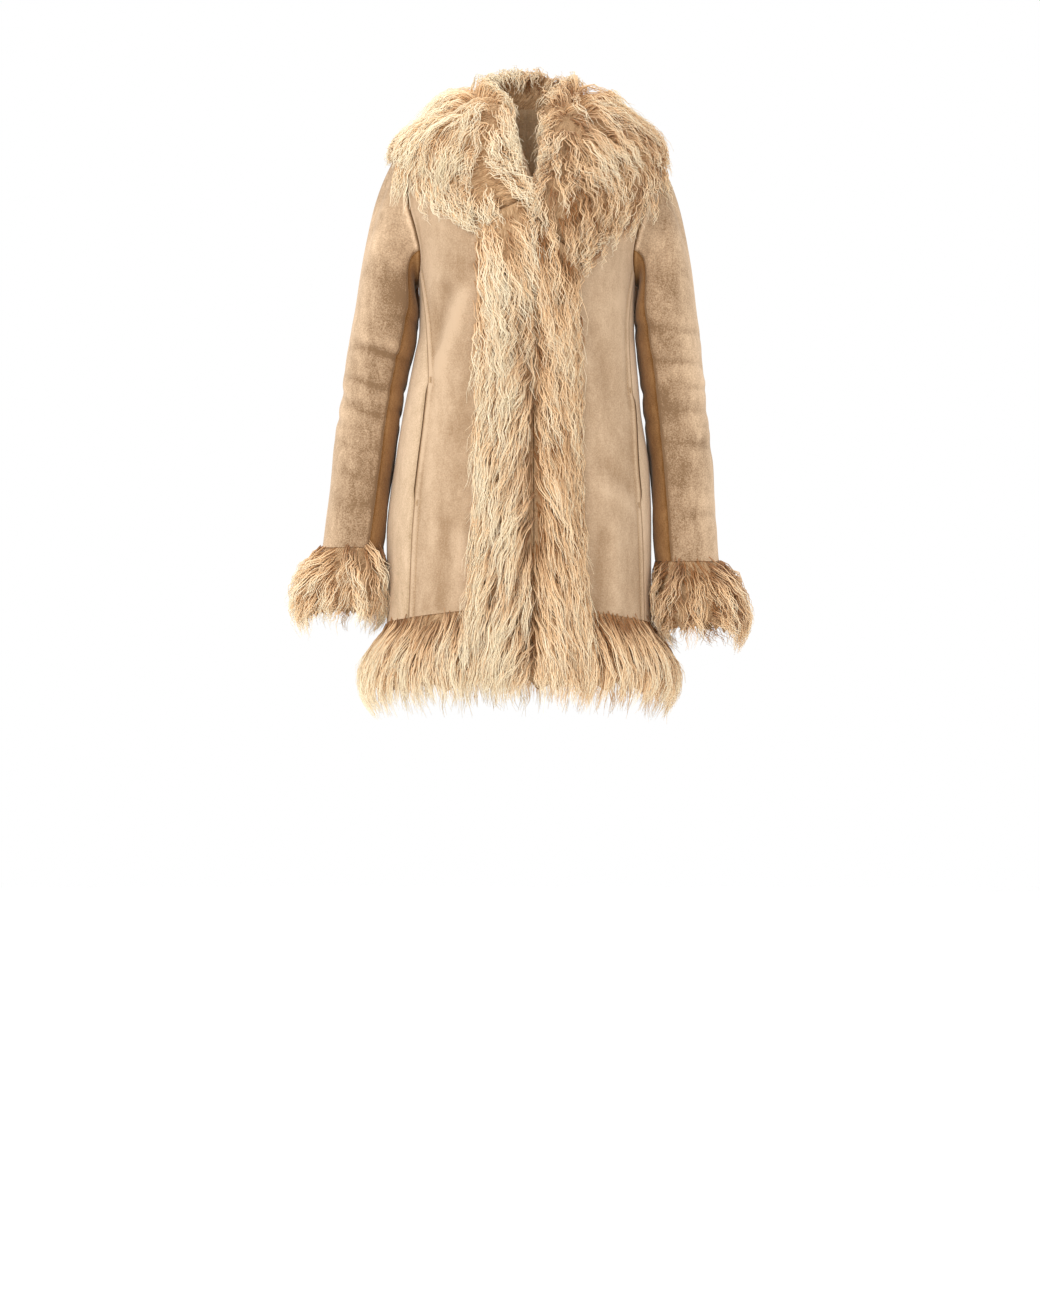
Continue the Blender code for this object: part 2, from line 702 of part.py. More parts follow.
def collar():
    """Wide shawl collar of fur: it stands round the neck and falls over the shoulders."""
    sections = collar_sections()
    count = (len(sections) - 1) * COLLAR_STEPS
    outer, inner = [], []
    for k in range(count + 1):
        values = dict(zip(STRIP_COLUMNS, catmull(sections, k / COLLAR_STEPS)))
        end = {0: 1, count: -1}.get(k, 0)
        ridge = 0 if end else (1 if k % 2 else -1)
        outer_row, inner_row = [], []
        for c in range(COLLAR_ACROSS + 1):
            share = c / COLLAR_ACROSS
            reach = share * (1 + COLLAR_LOCK_REACH * ridge * share)
            angle = values["inner_angle"] + reach * (values["outer_angle"] - values["inner_angle"])
            edges = [fall(min(values[name], STAND_TOP)) for name in ("inner_level", "outer_level")]
            level = level_at(edges[0] + reach * (edges[1] - edges[0])) + abs(end) * JOINT_GAP / 2
            lifted = max(0.0, share - LIFT_START) / (1 - LIFT_START)
            under = values["under"] + values["lift"] * lifted
            under += SHOULDER_BRIDGE * math.exp(-(((level - SHOULDER) / SHOULDER_BEND) ** 2))
            high = pile_profile(share, values, COLLAR_TOP, COLLAR_POWER)
            high *= 1 + LOCK_RELIEF * ridge * math.sin(math.pi * share)
            base, pile = body_point(angle, level), pile_direction(angle, level)
            outer_row.append(base + (high + under) * pile)
            inner_row.append(base + under * pile)
        outer.append(outer_row)
        inner.append(inner_row)
    return wall_object("collar_fur", outer, inner, MATERIALS["fur"])


def band_edge(side, level):
    """Angle of a band's centre edge at a level."""
    return angle_at_x(FRONT_EDGE_X + side * BAND_EDGE_GAP, level)


def front_band(side):
    """Band of fur down the front edge, combed down and outward, to tips below the hem."""
    table = BAND_LEFT if side > 0 else BAND_RIGHT
    outer, inner = [], []
    for k in range(BAND_ROWS + 1):
        values = band_values(table, k / BAND_ROWS)
        outer_row, inner_row = [], []
        last = k == BAND_ROWS
        for c in range(BAND_ACROSS + 1):
            share = c / BAND_ACROSS
            level = values["inner_level"] + share * (values["outer_level"] - values["inner_level"])
            level -= (k == 0) * JOINT_GAP / 2
            if last:
                level += tip_offset(c)
            start, end = band_edge(side, level), angle_at_x(values["side_x"], level)
            angle = start + share * (end - start)
            high = pile_profile(share, values, BAND_TOP, BAND_POWER)
            if 0 < k and not last:
                phase = (level + LOCK_LEAN * share * LOCK_PITCH) / LOCK_PITCH
                high *= 1 + LOCK_RELIEF * math.sin(2 * math.pi * phase) * math.sin(math.pi * share) ** 0.5
            outer_row.append(raised(angle, level, high + values["under"]))
            inner_row.append(raised(angle, level, values["under"]))
        outer.append(outer_row)
        inner.append(inner_row)
    return wall_object(f"front_band_{side_name(side)}", outer, inner, MATERIALS["fur"])


def band_values(table, share):
    """Named values of a band at a share of the way down its centre edge."""
    level = table[0][0] + (table[-1][0] - table[0][0]) * share
    return {name: read(table, BAND_COLUMNS, name, level) for name in BAND_COLUMNS}


def hem_band():
    """Ring of fur under the hem, open in front, where the front bands hang."""
    outer, inner = [], []
    columns = 2 * HEM_BAND_LOCKS
    for r in range(HEM_BAND_ROWS + 1):
        base = HEM + (FUR_TIP - HEM) * r / HEM_BAND_ROWS
        outer_row, inner_row = [], []
        for c in range(columns + 1):
            ridge = 1 if c % 2 else -1
            level = base - SEAM if r == 0 else base
            if r == HEM_BAND_ROWS:
                level += tip_offset(c)
            ends = []
            for side, table in ((1, BAND_LEFT), (-1, BAND_RIGHT)):
                place = (level - table[0][0]) / (table[-1][0] - table[0][0])
                side_x = band_values(table, min(place, 1.0))["side_x"]
                edge = angle_at_x(side_x, level)
                ends.append(edge + side * degrees_for(JOINT_GAP * 2, edge, level))
            angle = ends[0] + (ends[1] + 360 - ends[0]) * c / columns
            out = read(HEM_BAND, HEM_COLUMNS, "out", base)
            near = min(min(c, columns - c) / HEM_END_COLUMNS, 1.0)
            out *= 1 - HEM_END_THINNING * (1 - near)
            if 0 < r < HEM_BAND_ROWS:
                out *= 1 + LOCK_RELIEF * ridge
            outer_row.append(raised(angle, level, out))
            inner_row.append(raised(angle, level, read(HEM_BAND, HEM_COLUMNS, "under", base)))
        outer.append(outer_row)
        inner.append(inner_row)
    return wall_object("hem_band", outer, inner, MATERIALS["fur"])


def cuff(side):
    """Flared tube of fur at the end of a sleeve."""
    top = SLEEVE_END_LEFT if side > 0 else SLEEVE_END_RIGHT
    tip = CUFF_LEFT_TIP if side > 0 else CUFF_RIGHT_TIP
    columns = 2 * CUFF_LOCKS
    outer, inner = [], []
    for r in range(CUFF_ROWS + 1):
        share = r / CUFF_ROWS
        outer_row, inner_row = [], []
        for c in range(columns):
            ridge = 1 if c % 2 else -1
            z = top + (tip - top) * share
            if r == 0:
                z -= SEAM
            if r == CUFF_ROWS:
                z += tip_offset(c)
            out = read(CUFF, CUFF_COLUMNS, "out", share)
            if 0 < r < CUFF_ROWS:
                out *= 1 + LOCK_RELIEF * ridge
            angle = 360 * c / columns
            under = read(CUFF, CUFF_COLUMNS, "under", share)
            outer_row.append(sleeve_section(side, angle, z, out, CUFF_CLEARANCE))
            inner_row.append(sleeve_section(side, angle, z, under, CUFF_CLEARANCE + CUFF_THINNEST))
        outer.append(outer_row)
        inner.append(inner_row)
    return wall_object(f"cuff_{side_name(side)}", outer, inner, MATERIALS["fur"], closed=True)


for leftover in list(bpy.data.objects):
    bpy.data.objects.remove(leftover)
bpy.context.scene.collection.children.link(bpy.data.collections.new(COAT))
MATERIALS = {
    "suede": make_material("faux suede", SUEDE_COLOUR),
    "sleeve": make_material("faux suede of the sleeves", SLEEVE_COLOUR),
    "fur": make_material("faux fur", FUR_COLOUR),
}

for wearer_side in (-1, 1):
    label = side_name(wearer_side)
    front_panel(wearer_side)
    side_panel(wearer_side)
    sleeve_panel(
        f"sleeve_{label}_upper", wearer_side, SLEEVE_BACK_SEAM, SLEEVE_FRONT_SEAM + 360, MATERIALS["sleeve"]
    )
    sleeve_panel(
        f"sleeve_{label}_under", wearer_side, SLEEVE_FRONT_SEAM, SLEEVE_BACK_SEAM, MATERIALS["sleeve"]
    )
    back_panel(wearer_side)
    front_band(wearer_side)
    cuff(wearer_side)
collar()
hem_band()
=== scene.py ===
"""Faux fur coat, hollow as worn: camel faux suede with long curly faux fur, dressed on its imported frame.

Tables and sizes are in millimetres and degrees, and the meshes are in metres. +Z is up, -Y is the
front and +X is the wearer's left. The body, the sleeves and the fur strips follow the coat's own
forms, read at a finer step than the solids. Suede panels are thin walls. A fur strip is a pelt with
locks of strands rooted in it.
"""

from __future__ import annotations

import logging
import math
import sys
from abc import ABC, abstractmethod
from collections.abc import Callable
from dataclasses import dataclass
from enum import Enum, IntEnum
from functools import partial

import bmesh
import bpy
import numpy as np
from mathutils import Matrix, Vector

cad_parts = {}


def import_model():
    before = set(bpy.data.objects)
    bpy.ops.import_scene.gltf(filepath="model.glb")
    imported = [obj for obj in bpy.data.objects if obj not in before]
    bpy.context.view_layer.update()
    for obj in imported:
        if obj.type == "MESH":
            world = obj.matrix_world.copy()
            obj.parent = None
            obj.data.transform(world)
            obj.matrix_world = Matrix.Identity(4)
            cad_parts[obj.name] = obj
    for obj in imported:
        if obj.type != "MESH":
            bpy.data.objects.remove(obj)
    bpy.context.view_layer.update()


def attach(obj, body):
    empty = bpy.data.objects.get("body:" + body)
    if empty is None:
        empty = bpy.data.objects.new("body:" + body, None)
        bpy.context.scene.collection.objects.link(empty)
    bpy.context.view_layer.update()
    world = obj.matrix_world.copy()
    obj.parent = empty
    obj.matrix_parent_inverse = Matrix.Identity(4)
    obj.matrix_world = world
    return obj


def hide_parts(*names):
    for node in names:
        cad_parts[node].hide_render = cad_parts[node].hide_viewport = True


LOG = logging.getLogger("coat")
MM = 0.001
TAU = 2 * math.pi
Array = np.ndarray
Rows = tuple[tuple[float, ...], ...]
Socket = bpy.types.NodeSocket
Adder = Callable[..., bpy.types.Node]


class Side(Enum):
    """The wearer's side that a piece is on: its value is the sign of x there."""

    RIGHT = -1
    LEFT = 1

    @property
    def word(self) -> str:
        """The side's name in a piece's name."""
        return self.name.lower()


@dataclass(frozen=True)
class Table:
    """Rows of named columns, read along the first one."""

    columns: tuple[str, ...]
    rows: Rows

    def read(self, name: str, at: Array | float) -> Array:
        """Values of a column on a smooth curve that never swings past its rows.

        Args:
            name: The column.
            at: Values of the first column, kept inside the table.

        Returns:
            The column's values there.
        """
        rows = np.array(sorted(self.rows), dtype=float)
        xs, ys = rows[:, 0], rows[:, self.columns.index(name)]
        rises = np.diff(ys) / np.diff(xs)
        before, after = rises[:-1], rises[1:]
        limit = np.where(before * after > 0, 3 * np.minimum(abs(before), abs(after)), 0.0)
        middle = np.copysign(np.minimum(abs(before + after) / 2, limit), before)
        slopes = np.concatenate([rises[:1], middle, rises[-1:]])
        at = np.clip(np.asarray(at, dtype=float), xs[0], xs[-1])
        i = np.clip(np.searchsorted(xs, at, side="right") - 1, 0, len(xs) - 2)
        step = xs[i + 1] - xs[i]
        t = (at - xs[i]) / step
        return (
            ys[i] * (1 + 2 * t) * (1 - t) ** 2
            + slopes[i] * step * t * (1 - t) ** 2
            + ys[i + 1] * t * t * (3 - 2 * t)
            + slopes[i + 1] * step * t * t * (t - 1)
        )


SEAM = 0.3
STAND_TOP = 28.0
NECK = 0.0
SHOULDER = -40.0
UNDERARM = -225.0
HEM = -670.0
FUR_TIP = -792.0
BODY_FOOT = -800.0

RINGS = Table(
    ("level", "half_width", "centre_x", "side_y", "front_y", "front_z", "back_y", "back_z", "roundness"),
    (
        (28, 61, 0, 4, -58, -1, 62, 50, 2.0),
        (0, 64, 0, 4, -62, -16, 64, 18, 2.0),
        (-12, 94, 0, 6, -78, -36, 76, 4, 2.0),
        (-26, 130, 0, 8, -90, -54, 88, -16, 2.1),
        (-40, 163, 0, 10, -99, -72, 97, -38, 2.2),
        (-60, 171, 0, 10, -106, -91, 103, -64, 2.2),
        (-90, 173, 0, 9, -112, -114, 107, -96, 2.2),
        (-125, 170, 0, 8, -119, -141, 111, -129, 2.2),
        (-155, 159, 0, 7, -124, -164, 112, -157, 2.2),
        (-190, 147, 0, 5, -129, -193, 112, -190, 2.2),
        (-225, 143, 0, 2, -132, -226, 110, -225, 2.2),
        (-284, 142, 0, -2, -131, -284, 104, -284, 2.2),
        (-323, 147, -2, -4, -129, -323, 101, -323, 2.2),
        (-363, 153, -4, -5, -130, -363, 100, -363, 2.25),
        (-404, 159, -6, -5, -133, -404, 102, -404, 2.25),
        (-450, 166, -6, -4, -138, -450, 107, -450, 2.3),
        (-498, 171, -8, -3, -142, -497, 115, -498, 2.3),
        (-557, 174, -10, -2, -147, -551, 125, -556, 2.3),
        (-670, 174, -10, 0, -152, -652, 138, -667, 2.3),
        (-735, 176, -10, 0, -154, -716, 141, -732, 2.3),
        (-800, 177, -10, 0, -155, -781, 142, -797, 2.3),
    ),
)
SIDE_SEAMS = Table(
    ("level", "front_right_x", "front_left_x", "back_right_x", "back_left_x"),
    (
        (-206, -134, 136, -128, 128),
        (-284, -130, 132, -122, 122),
        (-356, -127, 135, -124, 120),
        (-404, -131, 139, -130, 123),
        (-469, -139, 142, -139, 128),
        (-535, -146, 148, -146, 133),
        (-670, -152, 152, -152, 135),
    ),
)
SEAM_EASE = 90.0
FRONT_EDGE_X = 8.0
FRONT_EDGE_GAP = 0.8
NECK_OPENING_FOOT = -105.0
NECK_OPENING_HEIGHT = 90.0
NECK_OPENING = {Side.LEFT: 15.0, Side.RIGHT: 27.0}

ARMHOLE_MID_Y = 8.0
ARMHOLE_FRONT = 60.0
ARMHOLE_BACK = 66.0
ARMHOLE_SQUARENESS = 2.3
ARMHOLE_SEAM = 0.5
SIDE_FRONT_ANGLE = 140.0
SIDE_BACK_ANGLE = 220.0


def bell(at: Array, width: float, middle: float = 0.0) -> Array:
    """Smooth hump: 1 at its middle, and about a third of that a width away."""
    return np.exp(-(((at - middle) / width) ** 2))


def unit(vectors: Array) -> Array:
    """Vectors of length 1 in the same directions."""
    return vectors / np.maximum(np.linalg.norm(vectors, axis=-1, keepdims=True), 1e-9)


def smooth(low: float, high: float, at: Array) -> Array:
    """Smooth step from 0 at low to 1 at high."""
    t = np.clip((np.asarray(at, dtype=float) - low) / (high - low), 0.0, 1.0)
    return t * t * (3 - 2 * t)


class Body:
    """The coat's body, one smooth surface of rings from the collar's stand to the fur's tips."""

    def ring(self, name: str, level: Array) -> Array:
        """Values of a ring's column at any levels."""
        return RINGS.read(name, level)

    def point(self, angle: Array | float, level: Array | float) -> Array:
        """Points of the outer face.

        Args:
            angle: 0 in front, 90 at the wearer's left and 180 behind.
            level: Height of the ring's side. Above and below the rings the surface runs straight on.

        Returns:
            Points in millimetres, with x, y and z on the last axis.
        """
        angle, level = np.broadcast_arrays(np.asarray(angle, float), np.asarray(level, float))
        inside = np.clip(level, BODY_FOOT, STAND_TOP)
        across, ahead = np.sin(np.radians(angle)), np.cos(np.radians(angle))
        roundness, side_y = self.ring("roundness", inside), self.ring("side_y", inside)
        end_y = np.where(ahead < 0, self.ring("back_y", inside), self.ring("front_y", inside))
        end_z = np.where(ahead < 0, self.ring("back_z", inside), self.ring("front_z", inside))
        sides = (abs(across) / self.ring("half_width", inside)) ** roundness
        radius = (sides + (abs(ahead) / abs(end_y - side_y)) ** roundness) ** (-1 / roundness)
        x = self.ring("centre_x", inside) + radius * across
        z = inside + (end_z - inside) * ahead * ahead + level - inside
        return np.stack([x, side_y - radius * ahead, z], axis=-1)

    def normal(self, angle: Array | float, level: Array | float) -> Array:
        """Directions out of the surface."""
        top = np.minimum(np.asarray(level, float) + 1.0, STAND_TOP)
        along = self.point(angle + np.float64(0.5), level) - self.point(angle - np.float64(0.5), level)
        return unit(np.cross(along, self.point(angle, top) - self.point(angle, top - 2.0)))

    def raised(self, angle: Array, level: Array, height: Array | float) -> Array:
        """Points at a height above the surface."""
        return self.point(angle, level) + np.asarray(height)[..., None] * self.normal(angle, level)

    def angle_at_x(self, x: Array | float, level: Array, behind: bool = False) -> Array:
        """Angles at which rings cross a given x."""
        across = x - self.ring("centre_x", level)
        share = np.minimum(abs(across) / self.ring("half_width", level), 1.0)
        roundness = self.ring("roundness", level)
        depth = self.ring("side_y", level) - self.ring("back_y" if behind else "front_y", level)
        return np.degrees(np.arctan2(across, depth * (1 - share**roundness) ** (1 / roundness)))

    def angle_at_y(self, y: Array, level: Array, side: Side) -> Array:
        """Angles at which rings cross a given y on one side."""
        ahead = self.ring("side_y", level) - y
        end = np.where(ahead >= 0, self.ring("front_y", level), self.ring("back_y", level))
        share = np.minimum(abs(ahead) / abs(end - self.ring("side_y", level)), 1.0)
        roundness = self.ring("roundness", level)
        across = self.ring("half_width", level) * (1 - share**roundness) ** (1 / roundness)
        return side.value * np.degrees(np.arctan2(across, ahead))

    def turn_for(self, distance: float, angle: Array, level: Array) -> Array:
        """Turns that move points by a distance along their rings."""
        chord = self.point(angle + 0.5, level) - self.point(angle - 0.5, level)
        return distance / np.linalg.norm(chord, axis=-1)

    def armhole(self, hole_angle: Array | float, side: Side) -> tuple[Array, Array]:
        """Places on the rim of an armhole.

        Args:
            hole_angle: 0 at the shoulder point, 90 in front, 180 under the arm and 270 behind.
            side: The armhole's side.

        Returns:
            Angles and levels on the body.
        """
        turn = np.radians(np.asarray(hole_angle, float))
        power = 2 / ARMHOLE_SQUARENESS
        up = np.copysign(abs(np.cos(turn)) ** power, np.cos(turn))
        ahead = np.copysign(abs(np.sin(turn)) ** power, np.sin(turn))
        level = (SHOULDER + UNDERARM) / 2 + (SHOULDER - UNDERARM) / 2 * up
        width = np.where(ahead > 0, ARMHOLE_FRONT, ARMHOLE_BACK)
        middle = np.where(abs(ahead) < 1e-6, self.ring("side_y", level), ARMHOLE_MID_Y)
        return self.angle_at_y(middle - width * ahead, level, side), level

    def side_seam(self, end: float, side: Side, level: Array) -> Array:
        """Angles of a seam below the armhole, which runs into the armhole's own point at its top."""
        place = "front" if end == SIDE_FRONT_ANGLE else "back"
        name = f"{place}_{side.word}_x"
        rim_angle, rim_level = self.armhole(end, side)

        def seam(at: Array) -> Array:
            """Angles of the seam's own line."""
            return self.angle_at_x(SIDE_SEAMS.read(name, at), at, behind=place == "back")

        share = np.maximum(0.0, 1 - (rim_level - level) / SEAM_EASE) ** 2
        return seam(level) + share * (rim_angle - seam(rim_level))

    def neck_edge(self, side: Side, level: Array) -> Array:
        """Angles of a front's free edge, which opens into a narrow V at the neck."""
        rise = self.point(0.0, level)[..., 2] - NECK_OPENING_FOOT
        opening = np.maximum(0.0, rise) / NECK_OPENING_HEIGHT
        reach = FRONT_EDGE_GAP / 2 + NECK_OPENING[side] * opening
        return self.angle_at_x(FRONT_EDGE_X + side.value * reach, level)


BODY = Body()

SLEEVE_SECTIONS = {
    Side.RIGHT: Table(
        ("z", "centre_x", "half_width", "centre_y", "half_depth"),
        (
            (-262, -183, 44, -4, 58),
            (-300, -190, 44, -3, 56),
            (-345, -200, 43, 0, 53),
            (-404, -208, 42, 0, 50),
            (-470, -216, 41, -4, 48),
            (-520, -222, 41, -8, 46),
            (-572, -229, 40, -12, 45),
            (-620, -240, 39, -16, 45),
            (-700, -248, 38, -22, 44),
        ),
    ),
    Side.LEFT: Table(
        ("z", "centre_x", "half_width", "centre_y", "half_depth"),
        (
            (-262, 181, 43, -4, 58),
            (-300, 186, 43, -3, 56),
            (-345, 192, 43, 0, 53),
            (-404, 197, 43, 0, 50),
            (-470, 203, 43, -4, 48),
            (-530, 207, 42, -9, 46),
            (-590, 211, 42, -13, 45),
            (-640, 221, 41, -17, 45),
            (-720, 230, 40, -23, 44),
        ),
    ),
}
SLEEVE_TOP = -262.0
SLEEVE_END = {Side.RIGHT: -572.0, Side.LEFT: -590.0}
SLEEVE_ROUNDNESS = 2.3
SLEEVE_FRONT_SEAM = 120.0
SLEEVE_BACK_SEAM = 240.0
SLEEVE_CLEARANCE = 2.5
CAP_BLEND = 0.16
CAP_OUTWARD_SHOULDER = 0.15
CAP_OUTWARD_UNDERARM = 1.5
SLEEVE_FIRST_STRETCH = 12.0
CREASE_SLANT = 0.15

CREASE_COLUMNS = ("z", "angle", "depth", "width", "spread")
# The large creases of the solids, then the finer ones that the bent arm presses into the suede.
CREASES = {
    Side.RIGHT: ((-335, 60, 3.5, 16, 55), (-372, 40, 4.0, 17, 60), (-412, 75, 3.5, 17, 60)),
    Side.LEFT: ((-334, 50, 3.0, 17, 60), (-394, 60, 4.0, 18, 60), (-440, 40, 3.0, 18, 60)),
}
FINE_CREASES = {
    Side.RIGHT: (
        (-318, 90, 5.0, 6, 56), (-300, 45, 1.5, 8, 34), (-344, 30, 1.8, 6, 30),
        (-357, 80, 2.6, 6, 50), (-378, 45, 2.8, 6, 44), (-392, 75, 3.0, 6, 46),
        (-408, 30, 2.0, 6, 34), (-437, 60, 1.6, 8, 44), (-478, 80, 1.4, 9, 36),
        (-352, 300, 2.6, 7, 40), (-388, 320, 2.6, 7, 44), (-430, 290, 1.8, 8, 40),
        (-366, 180, 2.2, 6, 50), (-398, 175, 2.4, 6, 50), (-280, 150, 2.0, 8, 50),
    ),
    Side.LEFT: (
        (-290, 60, 2.0, 6, 50), (-330, 75, 3.0, 6, 54), (-347, 30, 1.8, 6, 30),
        (-362, 40, 3.0, 6, 36), (-393, 70, 2.4, 8, 46), (-412, 35, 1.8, 6, 34),
        (-437, 60, 2.2, 7, 40), (-528, 50, 2.0, 8, 44), (-575, 80, 1.2, 8, 40),
        (-350, 300, 2.4, 7, 40), (-396, 315, 2.6, 7, 44), (-440, 295, 1.8, 8, 40),
        (-368, 180, 2.2, 6, 50), (-404, 175, 2.2, 6, 50), (-284, 150, 2.0, 8, 50),
    ),
}
# How far a fine crease runs down for each degree towards the front, in millimetres.
FINE_SLANT = {Side.RIGHT: 0.17, Side.LEFT: -0.08}


@dataclass(frozen=True)
class Sleeve:
    """A set-in sleeve, from the rim of its armhole to its cuff."""

    side: Side

    def body_reach(self, y: Array, z: Array, margin: float) -> Array:
        """The x that the sleeve keeps outside of, beside the body and the hem fur."""
        level = np.clip(z, FUR_TIP, NECK)
        fur = np.where(level < HEM, HEM_PROFILE.read("out", level) * (1 + LOCK_RELIEF), 0.0)
        side_y = BODY.ring("side_y", level)
        end = np.where(y < side_y, BODY.ring("front_y", level), BODY.ring("back_y", level))
        share = np.minimum(abs((y - side_y) / (end - side_y)), 1.0)
        roundness = BODY.ring("roundness", level)
        half = (BODY.ring("half_width", level) + fur) * (1 - share**roundness) ** (1 / roundness)
        return BODY.ring("centre_x", level) + self.side.value * (half + margin)

    def crease(self, angle: Array, z: Array) -> Array:
        """Depth of the large creases."""
        depth = np.zeros(np.broadcast(angle, z).shape)
        for row in CREASES[self.side]:
            one = dict(zip(CREASE_COLUMNS, row))
            off = (angle - one["angle"] + 180) % 360 - 180
            down = (z - one["z"] + CREASE_SLANT * off) / one["width"]
            depth = depth + one["depth"] * np.exp(-down * down - (off / one["spread"]) ** 2)
        return depth

    def section(self, angle: Array, z: Array, swell: Array | float, margin: float) -> Array:
        """Points on level sections.

        Args:
            angle: Turn round the sleeve, as on the armhole.
            z: Heights.
            swell: Added to the section's half width and half depth.
            margin: Kept between the sleeve and the body.

        Returns:
            Points in millimetres.
        """
        angle, z = np.broadcast_arrays(np.asarray(angle, float), np.asarray(z, float))
        table, sign = SLEEVE_SECTIONS[self.side], self.side.value
        turn = np.radians(angle)
        reach = (abs(np.cos(turn)) / (table.read("half_width", z) + swell)) ** SLEEVE_ROUNDNESS
        reach = reach + (abs(np.sin(turn)) / (table.read("half_depth", z) + swell)) ** SLEEVE_ROUNDNESS
        radius = reach ** (-1 / SLEEVE_ROUNDNESS) - self.crease(angle, z)
        x = table.read("centre_x", z) + sign * radius * np.cos(turn)
        y = table.read("centre_y", z) - radius * np.sin(turn)
        limit = self.body_reach(y, z, margin)
        return np.stack([np.where(sign * (x - limit) < 0, limit, x), y, z], axis=-1)

    def point(self, angle: Array, row: Array) -> Array:
        """Points of the outer face: rows below 1 are the cap, and then sections down to the end."""
        angle, row = np.broadcast_arrays(np.asarray(angle, float), np.asarray(row, float))
        sign, t = self.side.value, np.clip(row, 0, 1)[..., None]
        z = SLEEVE_TOP + (SLEEVE_END[self.side] - SLEEVE_TOP) * np.maximum(row - 1, 0)
        lower = self.section(angle, z, 0.0, SLEEVE_CLEARANCE)
        off = self.rim_direction(angle)
        start = BODY.point(*BODY.armhole(angle, self.side)) + ARMHOLE_SEAM * off
        end = self.section(angle, np.full_like(angle, SLEEVE_TOP), 0.0, SLEEVE_CLEARANCE)
        below = self.section(
            angle, np.full_like(angle, SLEEVE_TOP - SLEEVE_FIRST_STRETCH), 0.0, SLEEVE_CLEARANCE
        )
        span = np.linalg.norm(end - start, axis=-1, keepdims=True)
        down = (1 - np.cos(np.radians(angle))) / 2
        outward = CAP_OUTWARD_SHOULDER + (CAP_OUTWARD_UNDERARM - CAP_OUTWARD_SHOULDER) * down
        push = np.stack([sign * outward, 0 * outward, 0 * outward], axis=-1)
        leave = unit(off + unit(end - start) + push) * span
        arrive = unit(below - end) * span
        cap = (
            start * (1 + 2 * t) * (1 - t) ** 2
            + leave * t * (1 - t) ** 2
            + end * t * t * (3 - 2 * t)
            + arrive * t * t * (t - 1)
        )
        return np.where(row[..., None] >= 1, lower, cap)

    def rim_direction(self, angle: Array) -> Array:
        """Directions off the panels' edge, in the body's surface and into the armhole."""
        rim = BODY.point(*BODY.armhole(angle, self.side))
        ahead = BODY.point(*BODY.armhole(angle + 1, self.side))
        behind = BODY.point(*BODY.armhole(angle - 1, self.side))
        across = unit(np.cross(ahead - behind, BODY.normal(*BODY.armhole(angle, self.side))))
        middle = BODY.point(self.side.value * 90.0, (SHOULDER + UNDERARM) / 2)
        inward = np.sum(across * (middle - rim), axis=-1, keepdims=True) > 0
        return np.where(inward, across, -across)

    def normal(self, angle: Array, row: Array) -> Array:
        """Directions out of the sleeve, which turn into the body's own at the armhole."""
        angle, row = np.broadcast_arrays(np.asarray(angle, float), np.asarray(row, float))
        step = 0.02
        low = np.clip(row - step, 0.0, 2 - 2 * step)
        down = self.point(angle, low + 2 * step) - self.point(angle, low)
        around = self.point(angle + 1, row) - self.point(angle - 1, row)
        out = unit(np.cross(around, down)) * self.side.value
        share = np.minimum(row / CAP_BLEND, 1.0)[..., None]
        return unit(out * share + BODY.normal(*BODY.armhole(angle, self.side)) * (1 - share))


LOCK_RELIEF = 0.14
STRIP_COLUMNS = (
    "inner_angle", "inner_level", "outer_angle", "outer_level",
    "inner_lip", "crest", "outer_lip", "under", "lift",
)
COLLAR_RIGHT: Rows = (
    (3.4, -110, -29, -152, 20, 33, 8, 2.4, 0),
    (-1, -80, -39, -138, 20, 36, 8, 2.4, 0),
    (-8, -45, -49, -122, 20, 41, 8, 2.4, 0),
    (-17, -8, -60, -102, 19, 44, 7, 2.4, 1),
    (-30, 18, -72, -76, 18, 46, 6, 2.4, 2),
    (-52, 26, -84, -53, 18, 48, 6, 2.4, 3),
    (-80, 28, -96, -48, 18, 49, 6, 2.4, 3),
    (-106, 28, -109, -58, 18, 48, 7, 3.0, 3),
    (-130, 28, -130, -90, 18, 46, 8, 3.6, 0),
    (-155, 28, -155, -112, 18, 44, 9, 2.4, 0),
    (-180, 28, -180, -118, 18, 44, 9, 2.4, 0),
)
COLLAR_LEFT: Rows = (
    (4.2, -150, 31, -214, 20, 33, 8, 2.4, 0),
    (4.6, -112, 40, -188, 20, 36, 8, 2.4, 0),
    (8, -70, 50, -162, 20, 41, 8, 2.4, 0),
    (13, -30, 61, -132, 20, 44, 8, 2.4, 4),
    (21, 5, 70, -104, 19, 47, 7, 2.4, 9),
    (42, 25, 82, -66, 18, 49, 7, 2.4, 6),
    (70, 28, 93, -53, 18, 50, 7, 2.4, 5),
    (96, 28, 103, -58, 18, 49, 7, 2.4, 4),
    (122, 28, 120, -82, 18, 47, 8, 3.6, 1),
    (150, 28, 150, -108, 18, 45, 9, 2.4, 0),
)
COLLAR_TOP = 0.3
COLLAR_POWER = 1.35
SHOULDER_STRETCH = 2.3
PILE_LEAN = -14.0
SHOULDER_BRIDGE = 3.0
SHOULDER_BEND = 16.0
LIFT_START = 0.6
EDGE_ROLL = 20.0

